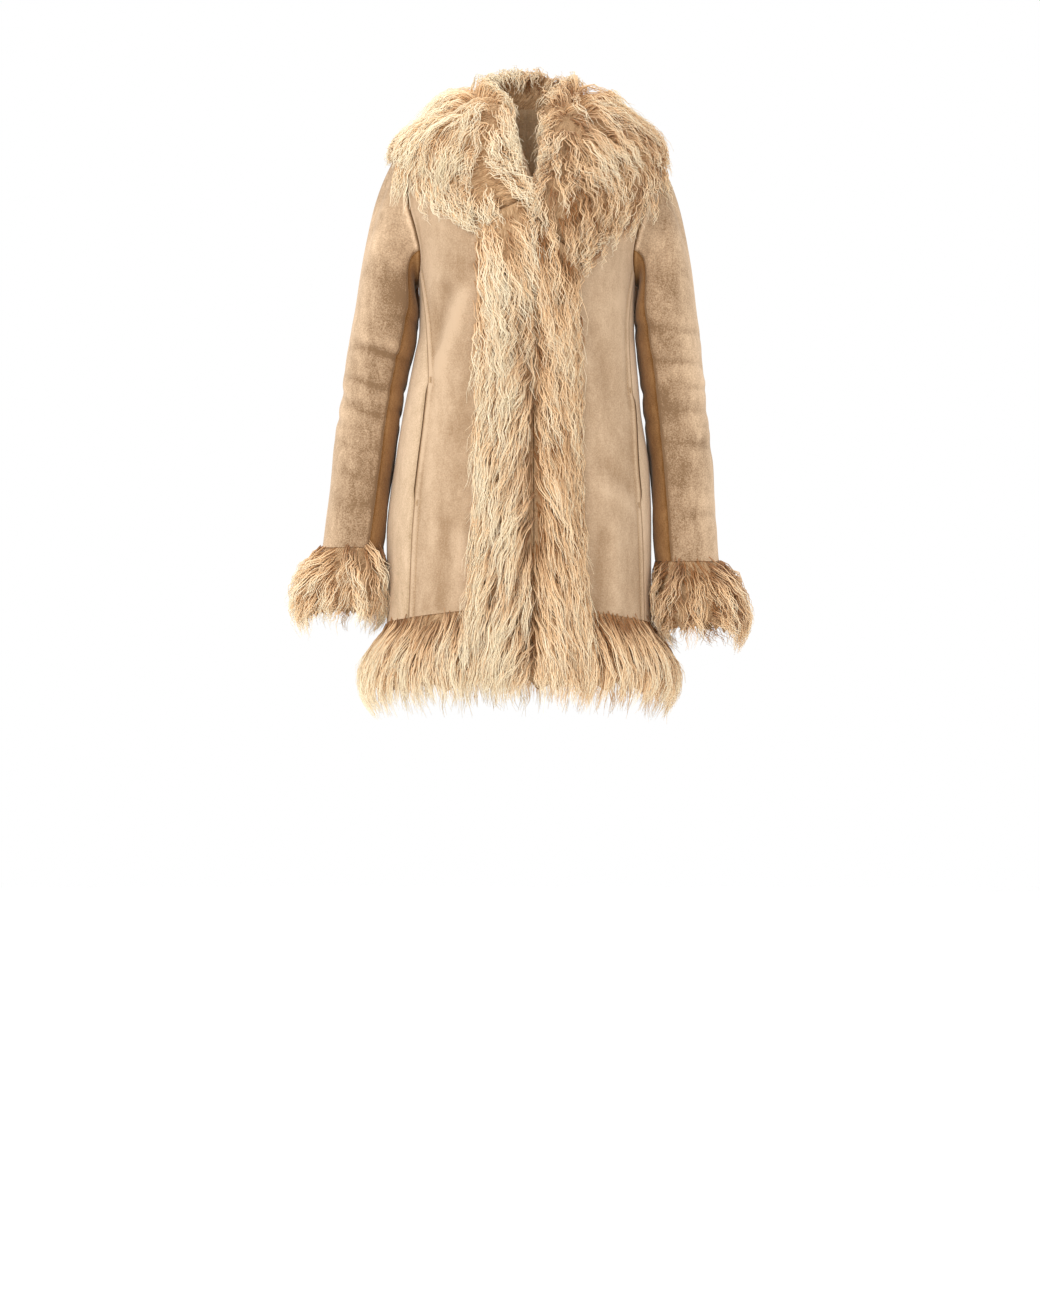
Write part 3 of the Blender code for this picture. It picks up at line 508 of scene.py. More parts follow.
BAND_COLUMNS = ("inner_level", "outer_level", "side_x", "inner_lip", "crest", "outer_lip", "under")
BANDS = {
    Side.RIGHT: Table(
        BAND_COLUMNS,
        (
            (-110, -152, -67, 20, 33, 8, 2.4),
            (-150, -172, -64, 20, 34, 7, 0.6),
            (-200, -205, -63, 20, 33, 6, 0.5),
            (-300, -300, -63, 20, 32, 6, 0.5),
            (-440, -440, -64, 21, 33, 6, 0.5),
            (-560, -560, -69, 23, 35, 7, 0.5),
            (-655, -655, -72, 25, 38, 12, 0.5),
            (-720, -720, -76, 25, 40, 24, 0.5),
            (-765, -765, -78, 18, 28, 18, 2),
            (-792, -792, -76, 9, 11, 9, 4),
        ),
    ),
    Side.LEFT: Table(
        BAND_COLUMNS,
        (
            (-150, -214, 68, 20, 33, 8, 2.4),
            (-190, -234, 66, 20, 34, 7, 0.6),
            (-240, -256, 65, 20, 33, 6, 0.5),
            (-300, -300, 64, 20, 32, 6, 0.5),
            (-440, -440, 64, 21, 33, 6, 0.5),
            (-560, -560, 67, 23, 35, 7, 0.5),
            (-655, -655, 71, 25, 38, 12, 0.5),
            (-720, -720, 75, 25, 40, 24, 0.5),
            (-765, -765, 77, 18, 28, 18, 2),
            (-792, -792, 75, 9, 11, 9, 4),
        ),
    ),
}
BAND_TOP = 0.42
BAND_POWER = 1.8
BAND_EDGE_GAP = 0.6
HEM_PROFILE = Table(
    ("level", "out", "under"),
    (
        (-670, 4, -3),
        (-688, 13, -3),
        (-710, 26, -3),
        (-736, 34, -3),
        (-760, 33, 0),
        (-780, 25, 6),
        (-792, 17, 9),
    ),
)
CUFF_PROFILE = Table(
    ("share", "out", "under"),
    ((0.0, 4, -3), (0.14, 18, -3), (0.38, 27, -3), (0.62, 28, -3), (0.82, 21, 0), (1.0, 10, 3)),
)
CUFF_CLEARANCE = 5.5
CUFF_THINNEST = 5.0
CUFF_TIP = {Side.RIGHT: -682.0, Side.LEFT: -704.0}


# --- Materials ------------------------------------------------------------------------------------


FIBRE_SHEEN = "#fff0dc"


def linear(colour: str) -> tuple[float, float, float, float]:
    """Linear colour of an sRGB hex value such as "#d8b993"."""
    parts = [int(colour[i : i + 2], 16) / 255 for i in (1, 3, 5)]
    red, green, blue = (c / 12.92 if c <= 0.04045 else ((c + 0.055) / 1.055) ** 2.4 for c in parts)
    return red, green, blue, 1.0


def add_node(
    tree: bpy.types.NodeTree, kind: str, inputs: dict[str | int, object] | tuple[object, ...] = (),
    **settings: object,
) -> bpy.types.Node:
    """Add a node with its settings, its values and its links.

    Args:
        tree: The tree that gets the node.
        kind: The node's type.
        inputs: For each socket's name or place, a value, or the socket or node that feeds it. A node
            feeds it by its first output.
        **settings: The node's own properties.

    Returns:
        The new node.
    """
    node = tree.nodes.new(kind)
    for name, value in settings.items():
        setattr(node, name, value)
    for key, value in inputs.items() if isinstance(inputs, dict) else enumerate(inputs):
        value = value.outputs[0] if isinstance(value, bpy.types.Node) else value
        if isinstance(value, Socket):
            tree.links.new(value, node.inputs[key])
        else:
            node.inputs[key].default_value = value
    return node


def new_material(
    name: str, look: dict[str | int, object]
) -> tuple[bpy.types.Material, Adder, bpy.types.NodeInputs]:
    """A material with its shader linked to its output.

    Args:
        name: What the material is.
        look: Values of the shader's inputs.

    Returns:
        The material, the function that adds a node to its tree, and the inputs of its shader.
    """
    material = bpy.data.materials.new(name)
    material.use_nodes = True
    tree = material.node_tree
    tree.nodes.clear()
    shader = add_node(tree, "ShaderNodeBsdfPrincipled", look)
    add_node(tree, "ShaderNodeOutputMaterial", {"Surface": shader.outputs["BSDF"]})
    return material, partial(add_node, tree), shader.inputs


def colour_and_height(
    material: bpy.types.Material, shader: bpy.types.NodeInputs, colour: Socket,
    bump: bpy.types.Node | None = None,
) -> bpy.types.Material:
    """Link a colour, and a bump where there is one, to a material's shader.

    Args:
        material: The material.
        shader: The inputs of its shader.
        colour: The socket of its colour.
        bump: The node that turns its fine unevenness into shading.

    Returns:
        The same material.
    """
    material.node_tree.links.new(colour, shader["Base Color"])
    if bump:
        material.node_tree.links.new(bump.outputs["Normal"], shader["Normal"])
    return material


@dataclass(frozen=True)
class FauxSuede:
    """Bonded polyester faux suede: a matt brushed nap, which lies paler or darker where it was stroked."""

    name: str
    light: str
    dark: str
    contrast: float = 1.15
    # Colour of the painted shade deep in a seam or a pocket's mouth.
    seam: str = "#4a3018"
    patch_mm: float = 110.0
    patch_share: float = 0.6
    stroke_mm: float = 16.0
    stroke_share: float = 0.6
    stroke_stretch: float = 0.45
    # The real nap is about 0.3 mm, too fine to show, so it is drawn coarser.
    grain_mm: float = 1.8
    grain_share: float = 0.7
    offset: float = -0.4
    middle: float = 0.55
    reach: float = 0.32

    def material(self) -> bpy.types.Material:
        """Nap patches, brush strokes and a fine grain, on Object coordinates, under each point's painted
        light and shade, and nearly black with painted shade deep in a seam.
        """
        material, add, shader = new_material(
            self.name,
            {
                "Roughness": 0.92, "Specular IOR Level": 0.18,
                "Sheen Weight": 0.22, "Sheen Roughness": 0.5, "Sheen Tint": linear(FIBRE_SHEEN),
            },
        )
        place = add("ShaderNodeTexCoord").outputs["Object"]
        drawn = add("ShaderNodeMapping", {"Vector": place, "Scale": (1.0, 1.0, self.stroke_stretch)})
        mixed: object = self.offset
        for share, size_mm, inputs in (
            (self.patch_share, self.patch_mm, {"Vector": place, "Detail": 3.0, "Roughness": 0.55}),
            (
                self.stroke_share, self.stroke_mm,
                {"Vector": drawn, "Detail": 4.0, "Roughness": 0.65, "Distortion": 0.6},
            ),
            (self.grain_share, self.grain_mm, {"Vector": place, "Detail": 2.0}),
        ):
            noise = add("ShaderNodeTexNoise", {"Scale": 1 / (size_mm * MM), **inputs}).outputs["Fac"]
            mixed = add("ShaderNodeMath", (noise, share, mixed), operation="MULTIPLY_ADD")
        half = self.reach / self.contrast
        nap = add(
            "ShaderNodeMapRange",
            {"Value": mixed, "From Min": self.middle - half, "From Max": self.middle + half},
        )
        # Each point's nap marks, with painted highlights on raised edges and painted shade in seams, creases
        # and folds.
        nap_and_painted_light = add("ShaderNodeAttribute", attribute_name="nap_and_painted_light").outputs["Fac"]
        nap_and_light = add("ShaderNodeMath", (nap.outputs["Result"], nap_and_painted_light), operation="ADD", use_clamp=True)
        dark, light = linear(self.dark), linear(self.light)
        brushed = add("ShaderNodeMix", {0: nap_and_light, 6: dark, 7: light}, data_type="RGBA")
        # Below -1 the value is painted shade deep in a seam or a pocket's mouth, with the darker cloth that
        # shows there, and turns the colour nearly black.
        sunk = add("ShaderNodeMath", (nap_and_painted_light, -1.0, -1.0), operation="MULTIPLY_ADD", use_clamp=True)
        tint = add("ShaderNodeMix", {0: sunk, 6: brushed.outputs[2], 7: linear(self.seam)}, data_type="RGBA")
        bump = add("ShaderNodeBump", {"Strength": 0.35, "Distance": 1.2 * MM, "Height": mixed})
        return colour_and_height(material, shader, tint.outputs[2], bump)


@dataclass(frozen=True)
class ClothBack:
    """The brushed back of the bonded cloth, a plain pale fleece that shows only inside the coat."""

    name: str = "brushed cloth back"
    light: str = "#d9bc98"
    dark: str = "#b8946c"
    tuft_mm: float = 3.0

    def material(self) -> bpy.types.Material:
        """Soft tufts on Object coordinates."""
        material, add, shader = new_material(self.name, {"Roughness": 0.95, "Specular IOR Level": 0.15})
        place = add("ShaderNodeTexCoord").outputs["Object"]
        noise = add("ShaderNodeTexNoise", {"Vector": place, "Scale": 1 / (self.tuft_mm * MM), "Detail": 3.0})
        tufts = noise.outputs["Fac"]
        tint = add("ShaderNodeMix", {0: tufts, 6: linear(self.dark), 7: linear(self.light)}, data_type="RGBA")
        bump = add("ShaderNodeBump", {"Strength": 0.5, "Distance": 2.0 * MM, "Height": tufts})
        return colour_and_height(material, shader, tint.outputs[2], bump)


@dataclass(frozen=True)
class FauxFur:
    """Long acrylic faux fur: silky strands with a soft gloss, dark at the root and pale at the tip."""

    name: str = "curly faux fur"
    root: str = "#9c693a"
    middle: str = "#f4cd9d"
    tip: str = "#fff0d0"
    middle_share: float = 0.42
    tip_share: float = 0.95
    tone_share: float = 0.34

    def material(self) -> bpy.types.Material:
        """Root to tip by the strand's own length, with each lock and each strand a little different, and
        darker where its lock carries painted shade.
        """
        material, add, shader = new_material(
            self.name,
            {
                "Roughness": 0.5, "Specular IOR Level": 0.35,
                "Sheen Weight": 0.25, "Sheen Roughness": 0.4, "Sheen Tint": linear(FIBRE_SHEEN),
            },
        )
        along, tone = (
            add("ShaderNodeAttribute", attribute_name=name).outputs["Fac"] for name in ("along", "tone")
        )
        shift = add("ShaderNodeMath", (tone, self.tone_share, along), operation="MULTIPLY_ADD")
        ramp = add("ShaderNodeValToRGB", (shift,))
        steps = ramp.color_ramp.elements
        steps[0].position, steps[0].color = 0.0, linear(self.root)
        steps[1].position, steps[1].color = self.tip_share, linear(self.tip)
        steps.new(self.middle_share).color = linear(self.middle)
        return colour_and_height(material, shader, ramp.outputs["Color"])


@dataclass(frozen=True)
class FurPelt:
    """The dense underfur of a strip, seen between its locks: darker, as painted shade from the locks over it,
    and streaked the way it is combed.
    """

    name: str = "dense underfur"
    light: str = "#dfb98e"
    dark: str = "#8f673f"
    hair_mm: float = 1.9
    hair_length_mm: float = 20.0
    sharpness: tuple[float, float] = (0.36, 0.64)

    def material(self) -> bpy.types.Material:
        """Streaks on the strip's own UV map, which is in metres."""
        material, add, shader = new_material(self.name, {"Roughness": 0.7, "Specular IOR Level": 0.25})
        place = add("ShaderNodeUVMap", uv_map="strip").outputs["UV"]
        hairs = (1 / (self.hair_mm * MM), 1 / (self.hair_length_mm * MM), 1.0)
        combed = add("ShaderNodeMapping", {"Vector": place, "Scale": hairs})
        noise = add(
            "ShaderNodeTexNoise",
            {"Vector": combed, "Scale": 1.0, "Detail": 4.0, "Roughness": 0.65, "Distortion": 2.2},
        )
        streaks, (low, high) = noise.outputs["Fac"], self.sharpness
        sharp = add("ShaderNodeMapRange", {"Value": streaks, "From Min": low, "From Max": high})
        colours = {6: linear(self.dark), 7: linear(self.light)}
        tint = add("ShaderNodeMix", {0: sharp.outputs["Result"], **colours}, data_type="RGBA")
        bump = add("ShaderNodeBump", {"Strength": 0.8, "Distance": 3.0 * MM, "Height": streaks})
        return colour_and_height(material, shader, tint.outputs[2], bump)


@dataclass(frozen=True)
class SewingThread:
    """Spun polyester thread, dyed to match, with a dull gloss."""

    name: str = "polyester thread"
    light: str = "#cdae87"
    dark: str = "#a5845c"
    twist_mm: float = 2.0

    def material(self) -> bpy.types.Material:
        """The thread's twist as fine bands on Object coordinates."""
        material, add, shader = new_material(self.name, {"Roughness": 0.6})
        place = add("ShaderNodeTexCoord").outputs["Object"]
        bands = {"Vector": place, "Scale": 1 / (self.twist_mm * MM), "Distortion": 2.0}
        twist = add("ShaderNodeTexWave", bands).outputs["Fac"]
        tint = add("ShaderNodeMix", {0: twist, 6: linear(self.dark), 7: linear(self.light)}, data_type="RGBA")
        return colour_and_height(material, shader, tint.outputs[2])


@dataclass(frozen=True)
class StudioPaper:
    """Seamless white studio paper, matt."""

    name: str = "studio paper"
    light: str = "#ffffff"
    dark: str = "#fbfbfb"

    def material(self) -> bpy.types.Material:
        """Paper with a faint tooth."""
        material, add, shader = new_material(self.name, {"Roughness": 0.9})
        place = add("ShaderNodeTexCoord").outputs["Object"]
        tooth = add("ShaderNodeTexNoise", {"Vector": place, "Scale": 3.0, "Detail": 2.0}).outputs["Fac"]
        tint = add("ShaderNodeMix", {0: tooth, 6: linear(self.dark), 7: linear(self.light)}, data_type="RGBA")
        return colour_and_height(material, shader, tint.outputs[2])


@dataclass
class Finishes:
    """The coat's materials, each made once."""

    suede: bpy.types.Material
    side_suede: bpy.types.Material
    sleeve: bpy.types.Material
    under_sleeve: bpy.types.Material
    back: bpy.types.Material
    fur: bpy.types.Material
    pelt: bpy.types.Material
    thread: bpy.types.Material

    @classmethod
    def make(cls) -> Finishes:
        """All the materials."""
        return cls(
            suede=FauxSuede("faux suede of the body", "#c4a88a", "#997c5e").material(),
            side_suede=FauxSuede("faux suede of the sides", "#dabe9f", "#ab9070").material(),
            sleeve=FauxSuede("faux suede of the sleeves", "#dfc09e", "#7f6347", contrast=0.95).material(),
            # Under the sleeves the suede is darker for its reversed nap, and darker still with painted shade
            # under the arm.
            under_sleeve=FauxSuede("faux suede under the sleeves", "#9c744a", "#6c4720").material(),
            back=ClothBack().material(),
            fur=FauxFur().material(),
            pelt=FurPelt().material(),
            thread=SewingThread().material(),
        )


# --- Meshes ---------------------------------------------------------------------------------------


SHARP_EDGE = 55.0


def link(name: str, mesh: bpy.types.Mesh) -> bpy.types.Object:
    """A new object at the origin, linked to the scene."""
    piece = bpy.data.objects.new(name, mesh)
    bpy.context.scene.collection.objects.link(piece)
    return piece


def wall_piece(
    name: str, outer: Array, inner: Array, materials: tuple[bpy.types.Material, ...],
    closed: bool = False, nap_and_painted_light: Array | None = None,
) -> bpy.types.Object:
    """A closed wall between two grids of points, with the cloth's own UV map in metres.

    Args:
        name: The piece's name.
        outer: Grid of points of the outer face, by row, column and coordinate, in millimetres.
        inner: Grid of the inner face.
        materials: Finish of the outer face, then of the inner face and the rims.
        closed: Whether the last column meets the first one.
        nap_and_painted_light: For each outer point, how much paler or darker it is painted: its nap marks,
            and painted light and shade.

    Returns:
        The new object.
    """
    rows, columns = outer.shape[:2]
    index = np.arange(rows * columns).reshape(rows, columns)
    right = np.roll(index, -1, axis=1) if closed else index[:, 1:]
    left = index if closed else index[:, :-1]
    back = rows * columns
    faces, slots = [], []
    quads = np.stack([left[:-1], right[:-1], right[1:], left[1:]], axis=-1).reshape(-1, 4)
    faces += [quads, quads + back]
    slots += [0] * len(quads) + [1] * len(quads)
    for row in (0, rows - 1):
        rim = np.stack([left[row], right[row], right[row] + back, left[row] + back], axis=-1)
        faces.append(rim)
        slots += [1] * len(rim)
    if not closed:
        for column in (0, columns - 1):
            edge = index[:, column]
            rim = np.stack([edge[:-1], edge[1:], edge[1:] + back, edge[:-1] + back], axis=-1)
            faces.append(rim)
            slots += [1] * len(rim)
    points = np.concatenate([outer.reshape(-1, 3), inner.reshape(-1, 3)]) * MM
    mesh = bpy.data.meshes.new(name)
    mesh.from_pydata(points.tolist(), [], np.concatenate(faces).tolist())
    for material in materials:
        mesh.materials.append(material)
    mesh.polygons.foreach_set("material_index", np.minimum(slots, len(materials) - 1))
    across = np.cumsum(np.linalg.norm(np.diff(outer, axis=1, prepend=outer[:, :1]), axis=-1), axis=1)
    down = np.cumsum(np.linalg.norm(np.diff(outer, axis=0, prepend=outer[:1]), axis=-1), axis=0)
    chart = np.stack([across, down], axis=-1).reshape(-1, 2) * MM
    chart = np.concatenate([chart, chart])
    corners = np.empty(len(mesh.loops), dtype=np.int32)
    mesh.loops.foreach_get("vertex_index", corners)
    mesh.uv_layers.new(name="strip").data.foreach_set("uv", chart[corners].ravel())
    if nap_and_painted_light is not None:
        values = np.concatenate([nap_and_painted_light.ravel(), np.zeros(nap_and_painted_light.size)]).astype(np.float32)
        mesh.attributes.new("nap_and_painted_light", "FLOAT", "POINT").data.foreach_set("value", values)
    work = bmesh.new()
    work.from_mesh(mesh)
    bmesh.ops.recalc_face_normals(work, faces=work.faces)
    work.to_mesh(mesh)
    work.free()
    mesh.shade_smooth()
    mesh.set_sharp_from_angle(angle=math.radians(SHARP_EDGE))
    return link(name, mesh)


def edge_distances(points: Array) -> tuple[Array, Array]:
    """Distances along each row of a grid from its first column, and from its last one."""
    steps = np.linalg.norm(np.diff(points, axis=1, prepend=points[:, :1]), axis=-1)
    along = np.cumsum(steps, axis=1)
    return along, along[:, -1:] - along


def plain_mesh(source: bpy.types.Object, name: str) -> bpy.types.Object:
    """The plain mesh that an object's node tree makes, in place of that object."""
    graph = bpy.context.evaluated_depsgraph_get()
    mesh = bpy.data.meshes.new_from_object(source.evaluated_get(graph), depsgraph=graph)
    mesh.name = name
    old = source.data
    bpy.data.objects.remove(source)
    bpy.data.meshes.remove(old)
    return link(name, mesh)


def seeded_object(name: str, points: Array, fields: dict[str, Array]) -> bpy.types.Object:
    """An object of loose points with attributes of their own: vectors, and plain numbers."""
    mesh = bpy.data.meshes.new(name)
    mesh.from_pydata(points.tolist(), [], [])
    for label, values in fields.items():
        kind, key = ("FLOAT_VECTOR", "vector") if values.ndim == 2 else ("FLOAT", "value")
        data = mesh.attributes.new(label, kind, "POINT").data
        data.foreach_set(key, np.ascontiguousarray(values, dtype=np.float32).ravel())
    return link(name, mesh)


# --- Strands and stitches -------------------------------------------------------------------------


class PointTool(ABC):
    """A node tree that turns seeded points into a piece."""

    title: str
    sockets: tuple[tuple[str, str], ...]

    def __init__(self) -> None:
        """Build the tree, with its named inputs."""
        self.tree = bpy.data.node_groups.new(self.title, "GeometryNodeTree")
        face = self.tree.interface
        face.new_socket("Geometry", in_out="INPUT", socket_type="NodeSocketGeometry")
        for name, kind in self.sockets:
            face.new_socket(name, in_out="INPUT", socket_type=kind)
        face.new_socket("Geometry", in_out="OUTPUT", socket_type="NodeSocketGeometry")
        add = partial(add_node, self.tree)
        self.given = add("NodeGroupInput").outputs
        real = add("GeometryNodeRealizeInstances", (self.build(add),))
        dressed = add("GeometryNodeSetMaterial", {"Geometry": real, "Material": self.given["Material"]})
        add("NodeGroupOutput", {"Geometry": dressed})

    @abstractmethod
    def build(self, add: Adder) -> bpy.types.Node:
        """Add the tree's own nodes, and give the one that ends in their geometry."""

    def apply(self, source: bpy.types.Object, name: str, values: dict[str, object]) -> bpy.types.Object:
        """Run the tree on an object of points.

        Args:
            source: The points, which the new piece replaces.
            name: The piece's name.
            values: For each named input, its value.

        Returns:
            The piece as a plain mesh.
        """
        modifier = source.modifiers.new(self.title, "NODES")
        modifier.node_group = self.tree
        for item in self.tree.interface.items_tree:
            if item.item_type == "SOCKET" and item.in_out == "INPUT" and item.name in values:
                modifier[item.identifier] = values[item.name]
        return plain_mesh(source, name)


MATH = "ShaderNodeMath"
VECTOR_MATH = "ShaderNodeVectorMath"


class Salt(IntEnum):
    """Keeps the random values of a strand apart from each other."""

    SPOT = 3
    TONE = 7
    REACH = 11
    LOOSE = 17
    JITTER = 23
    WIDTH = 31
    DRIFT = 41
    RARE = 43


@dataclass(frozen=True)
class StrandShape:
    """How the strands of a lock differ, in shares of the lock's own length, spread, width and wave."""

    sides: int = 3
    reach: tuple[float, float] = (0.72, 1.06)
    loose: tuple[float, float] = (0.55, 1.0)
    width: tuple[float, float] = (0.35, 0.62)
    tone: tuple[float, float] = (-0.5, 0.5)
    jitter: tuple[float, float] = (-0.11, 0.11)
    spot: Rows = ((-1.0, -1.0, -1.0), (1.0, 1.0, 1.0))
    drift: Rows = ((-1.0, -1.0, -0.8), (1.0, 0.4, 1.0))
    rare: tuple[float, float] = (0.0, 1.0)
    rare_power: float = 3.0
    bend_power: float = 2.0
    taper: float = 0.8
    taper_power: float = 1.6
    flatness: float = 0.55
    wave_growth: float = 2.6
    wave_flatness: float = 0.6


class LockGrower(PointTool):
    """Grows locks of fur: each point is a lock, with its own path and wave, and carries many strands."""

    title = "fur locks"
    shape = StrandShape()
    sockets = (
        ("Strands", "NodeSocketInt"),
        ("Rings", "NodeSocketInt"),
        ("Width", "NodeSocketFloat"),
        ("Clump", "NodeSocketFloat"),
        ("Stray", "NodeSocketFloat"),
        ("Seed", "NodeSocketInt"),
        ("Material", "NodeSocketMaterial"),
    )
    fields = {
        "INT": ("strand",),
        "FLOAT": ("along", "spread", "wave", "waves", "phase", "shade"),
        "FLOAT_VECTOR": ("path_0", "path_1", "path_2", "path_3", "across", "out", "comb"),
    }

    def read(self, add: Adder) -> dict[str, Socket]:
        """The attributes that locks and strands carry, by name."""
        return {
            name: add("GeometryNodeInputNamedAttribute", {"Name": name}, data_type=kind).outputs[0]
            for kind, names in self.fields.items()
            for name in names
        }

    def drawn(self, add: Adder, strand: Socket) -> dict[Salt, Socket]:
        """The random values of each strand."""
        found = {}
        for salt in Salt:
            low, high = getattr(self.shape, salt.name.lower())
            kind, first, output = ("FLOAT", 2, 1) if isinstance(low, float) else ("FLOAT_VECTOR", 0, 0)
            seed = add(MATH, (self.given["Seed"], float(salt)), operation="ADD")
            inputs = {first: low, first + 1: high, "ID": strand, "Seed": seed}
            found[salt] = add("FunctionNodeRandomValue", inputs, data_type=kind).outputs[output]
        return found

    def build(self, add: Adder) -> bpy.types.Node:
        """Copy each lock into strands and rings, place the rings, and skin them."""
        given, own = self.given, self.read(add)
        drawn, along = self.drawn(add, own["strand"]), own["along"]
        copy, store = "GeometryNodeDuplicateElements", "GeometryNodeStoreNamedAttribute"
        strands = add(copy, {"Geometry": given["Geometry"], "Amount": given["Strands"]}, domain="POINT")
        index = add("GeometryNodeInputIndex")
        marked = add(
            store, {"Geometry": strands, "Name": "strand", "Value": index}, data_type="INT", domain="POINT"
        )
        rings = add(copy, {"Geometry": marked, "Amount": given["Rings"]}, domain="POINT")
        last = add(MATH, (given["Rings"], 1.0), operation="SUBTRACT")
        share = add(MATH, (rings.outputs["Duplicate Index"], last), operation="DIVIDE")
        # A strand's tone is its lock's painted shade, with a random tone of its own.
        tone = add(MATH, (own["shade"], drawn[Salt.TONE]), operation="ADD")
        geometry = rings
        for name, value in (("along", share), ("tone", tone)):
            inputs = {"Geometry": geometry, "Name": name, "Value": value}
            geometry = add(store, inputs, data_type="FLOAT", domain="POINT")
        inputs = {"Geometry": geometry, "Position": self.place(add, own, drawn)}
        placed = add("GeometryNodeSetPosition", inputs)
        points = add("GeometryNodeMeshToPoints", {"Mesh": placed})
        curves = add("GeometryNodePointsToCurves", (points, own["strand"], along))
        sunk = add(MATH, (along, self.shape.taper_power), operation="POWER")
        sunk = add(MATH, (sunk, self.shape.taper), operation="MULTIPLY")
        width = add(MATH, (1.0, sunk), operation="SUBTRACT")
        for factor in (drawn[Salt.WIDTH], given["Width"]):
            width = add(MATH, (width, factor), operation="MULTIPLY")
        section = add("GeometryNodeCurvePrimitiveCircle", {"Resolution": self.shape.sides, "Radius": 1.0})
        inputs = {"Curve": curves, "Profile Curve": section, "Scale": width, "Fill Caps": True}
        return add("GeometryNodeSetShadeSmooth", (add("GeometryNodeCurveToMesh", inputs),))

    def place(
        self, add: Adder, own: dict[str, Socket], drawn: dict[Salt, Socket]
    ) -> bpy.types.Node:
        """Where a strand's ring is: on its lock's path, off its middle, waved and a little astray.

        Args:
            add: What adds a node to the tree.
            own: The attributes that the lock and the strand carry.
            drawn: The strand's random values.

        Returns:
            The node whose first output is the place.
        """
        shape, along = self.shape, own["along"]
        reach = add(MATH, (along, drawn[Salt.REACH]), operation="MULTIPLY")
        # The lock's path is a curve through two ends with two handles, its four points mixed down to one.
        path = [own[f"path_{i}"] for i in range(4)]
        while len(path) > 1:
            path = [
                add(
                    "ShaderNodeMix", {0: reach, 4: start, 5: end}, data_type="VECTOR", clamp_factor=False
                ).outputs[1]
                for start, end in zip(path, path[1:])
            ]
        spot = add("ShaderNodeSeparateXYZ", (drawn[Salt.SPOT],)).outputs
        thick = add(MATH, (spot[2], shape.flatness), operation="MULTIPLY")
        off = None
        for way, size in ((own["across"], spot[0]), (own["comb"], spot[1]), (own["out"], thick)):
            part = add(VECTOR_MATH, {0: way, "Scale": size}, operation="SCALE")
            off = add(VECTOR_MATH, (off, part), operation="ADD") if off else part
        gather = self.given["Clump"]
        for factor in (drawn[Salt.LOOSE], along):
            gather = add(MATH, (gather, factor), operation="MULTIPLY")
        kept = add(MATH, (1.0, gather), operation="SUBTRACT")
        spread = add(MATH, (own["spread"], kept), operation="MULTIPLY")
        off = add(VECTOR_MATH, {0: off, "Scale": spread}, operation="SCALE")
        turns = add(MATH, (own["waves"], reach, own["phase"]), operation="MULTIPLY_ADD")
        turns = add(MATH, (turns, drawn[Salt.JITTER]), operation="ADD")
        turn = add(MATH, (turns, TAU), operation="MULTIPLY")
        growth = add(MATH, (along, shape.wave_growth), operation="MULTIPLY")
        growth = add(MATH, (growth, 1.0), operation="MINIMUM")
        size = add(MATH, (own["wave"], growth), operation="MULTIPLY")
        flat = add(MATH, (size, shape.wave_flatness), operation="MULTIPLY")
        waved = None
        for way, swing, size in ((own["across"], "SINE", size), (own["out"], "COSINE", flat)):
            swung = add(MATH, (add(MATH, (turn,), operation=swing), size), operation="MULTIPLY")
            part = add(VECTOR_MATH, {0: way, "Scale": swung}, operation="SCALE")
            waved = add(VECTOR_MATH, (waved, part), operation="ADD") if waved else part
        bend = add(MATH, (drawn[Salt.RARE], shape.rare_power), operation="POWER")
        late = add(MATH, (along, shape.bend_power), operation="POWER")
        for factor in (self.given["Stray"], late):
            bend = add(MATH, (bend, factor), operation="MULTIPLY")
        astray = add(VECTOR_MATH, {0: drawn[Salt.DRIFT], "Scale": bend}, operation="SCALE")
        moved = add(VECTOR_MATH, (off, waved), operation="ADD")
        moved = add(VECTOR_MATH, (path[0], moved), operation="ADD")
        return add(VECTOR_MATH, (moved, astray), operation="ADD")


class StitchMaker(PointTool):
    """Lays stitches: each point is one, turned along its own seam."""

    title = "stitches"
    sockets = (
        ("Length", "NodeSocketFloat"),
        ("Thickness", "NodeSocketFloat"),
        ("Material", "NodeSocketMaterial"),
    )

    def build(self, add: Adder) -> bpy.types.Node:
        """A small rounded thread on each point."""
        thick = self.given["Thickness"]
        bead = add("GeometryNodeMeshUVSphere", {"Segments": 6, "Rings": 4, "Radius": 0.5})
        size = add("ShaderNodeCombineXYZ", (thick, thick, self.given["Length"]))
        shaped = add("GeometryNodeTransform", {"Geometry": bead.outputs["Mesh"], "Scale": size})
        thread = add("GeometryNodeSetShadeSmooth", (shaped,))
        run = add("GeometryNodeInputNamedAttribute", {"Name": "run"}, data_type="FLOAT_VECTOR").outputs[0]
        turn = add("FunctionNodeAlignRotationToVector", {"Vector": run}, axis="Z")
        return add(
            "GeometryNodeInstanceOnPoints",
            {"Points": self.given["Geometry"], "Instance": thread, "Rotation": turn},
        )


# --- Suede pieces ---------------------------------------------------------------------------------


@dataclass(frozen=True)
class Cut:
    """Size of the flat cloth that a piece is cut from, in metres, and the cut's own area."""

    width: float
    length: float
    area: float

    @property
    def flat(self) -> tuple[float, float]:
        """Width and length together."""
        return self.width, self.length


@dataclass(frozen=True)
class PocketMouth:
    """The slit of an in-seam pocket: its top and foot, and how far its edge stands open."""

    top: float
    foot: float
    gape: float = 3.2

    def opening(self, z: Array) -> Array:
        """Share of the gape at each height."""
        ends = 14.0
        return smooth(self.foot, self.foot + ends, z) * (1 - smooth(self.top - ends, self.top, z))


POCKETS = {Side.RIGHT: PocketMouth(-360.0, -514.0), Side.LEFT: PocketMouth(-372.0, -516.0)}


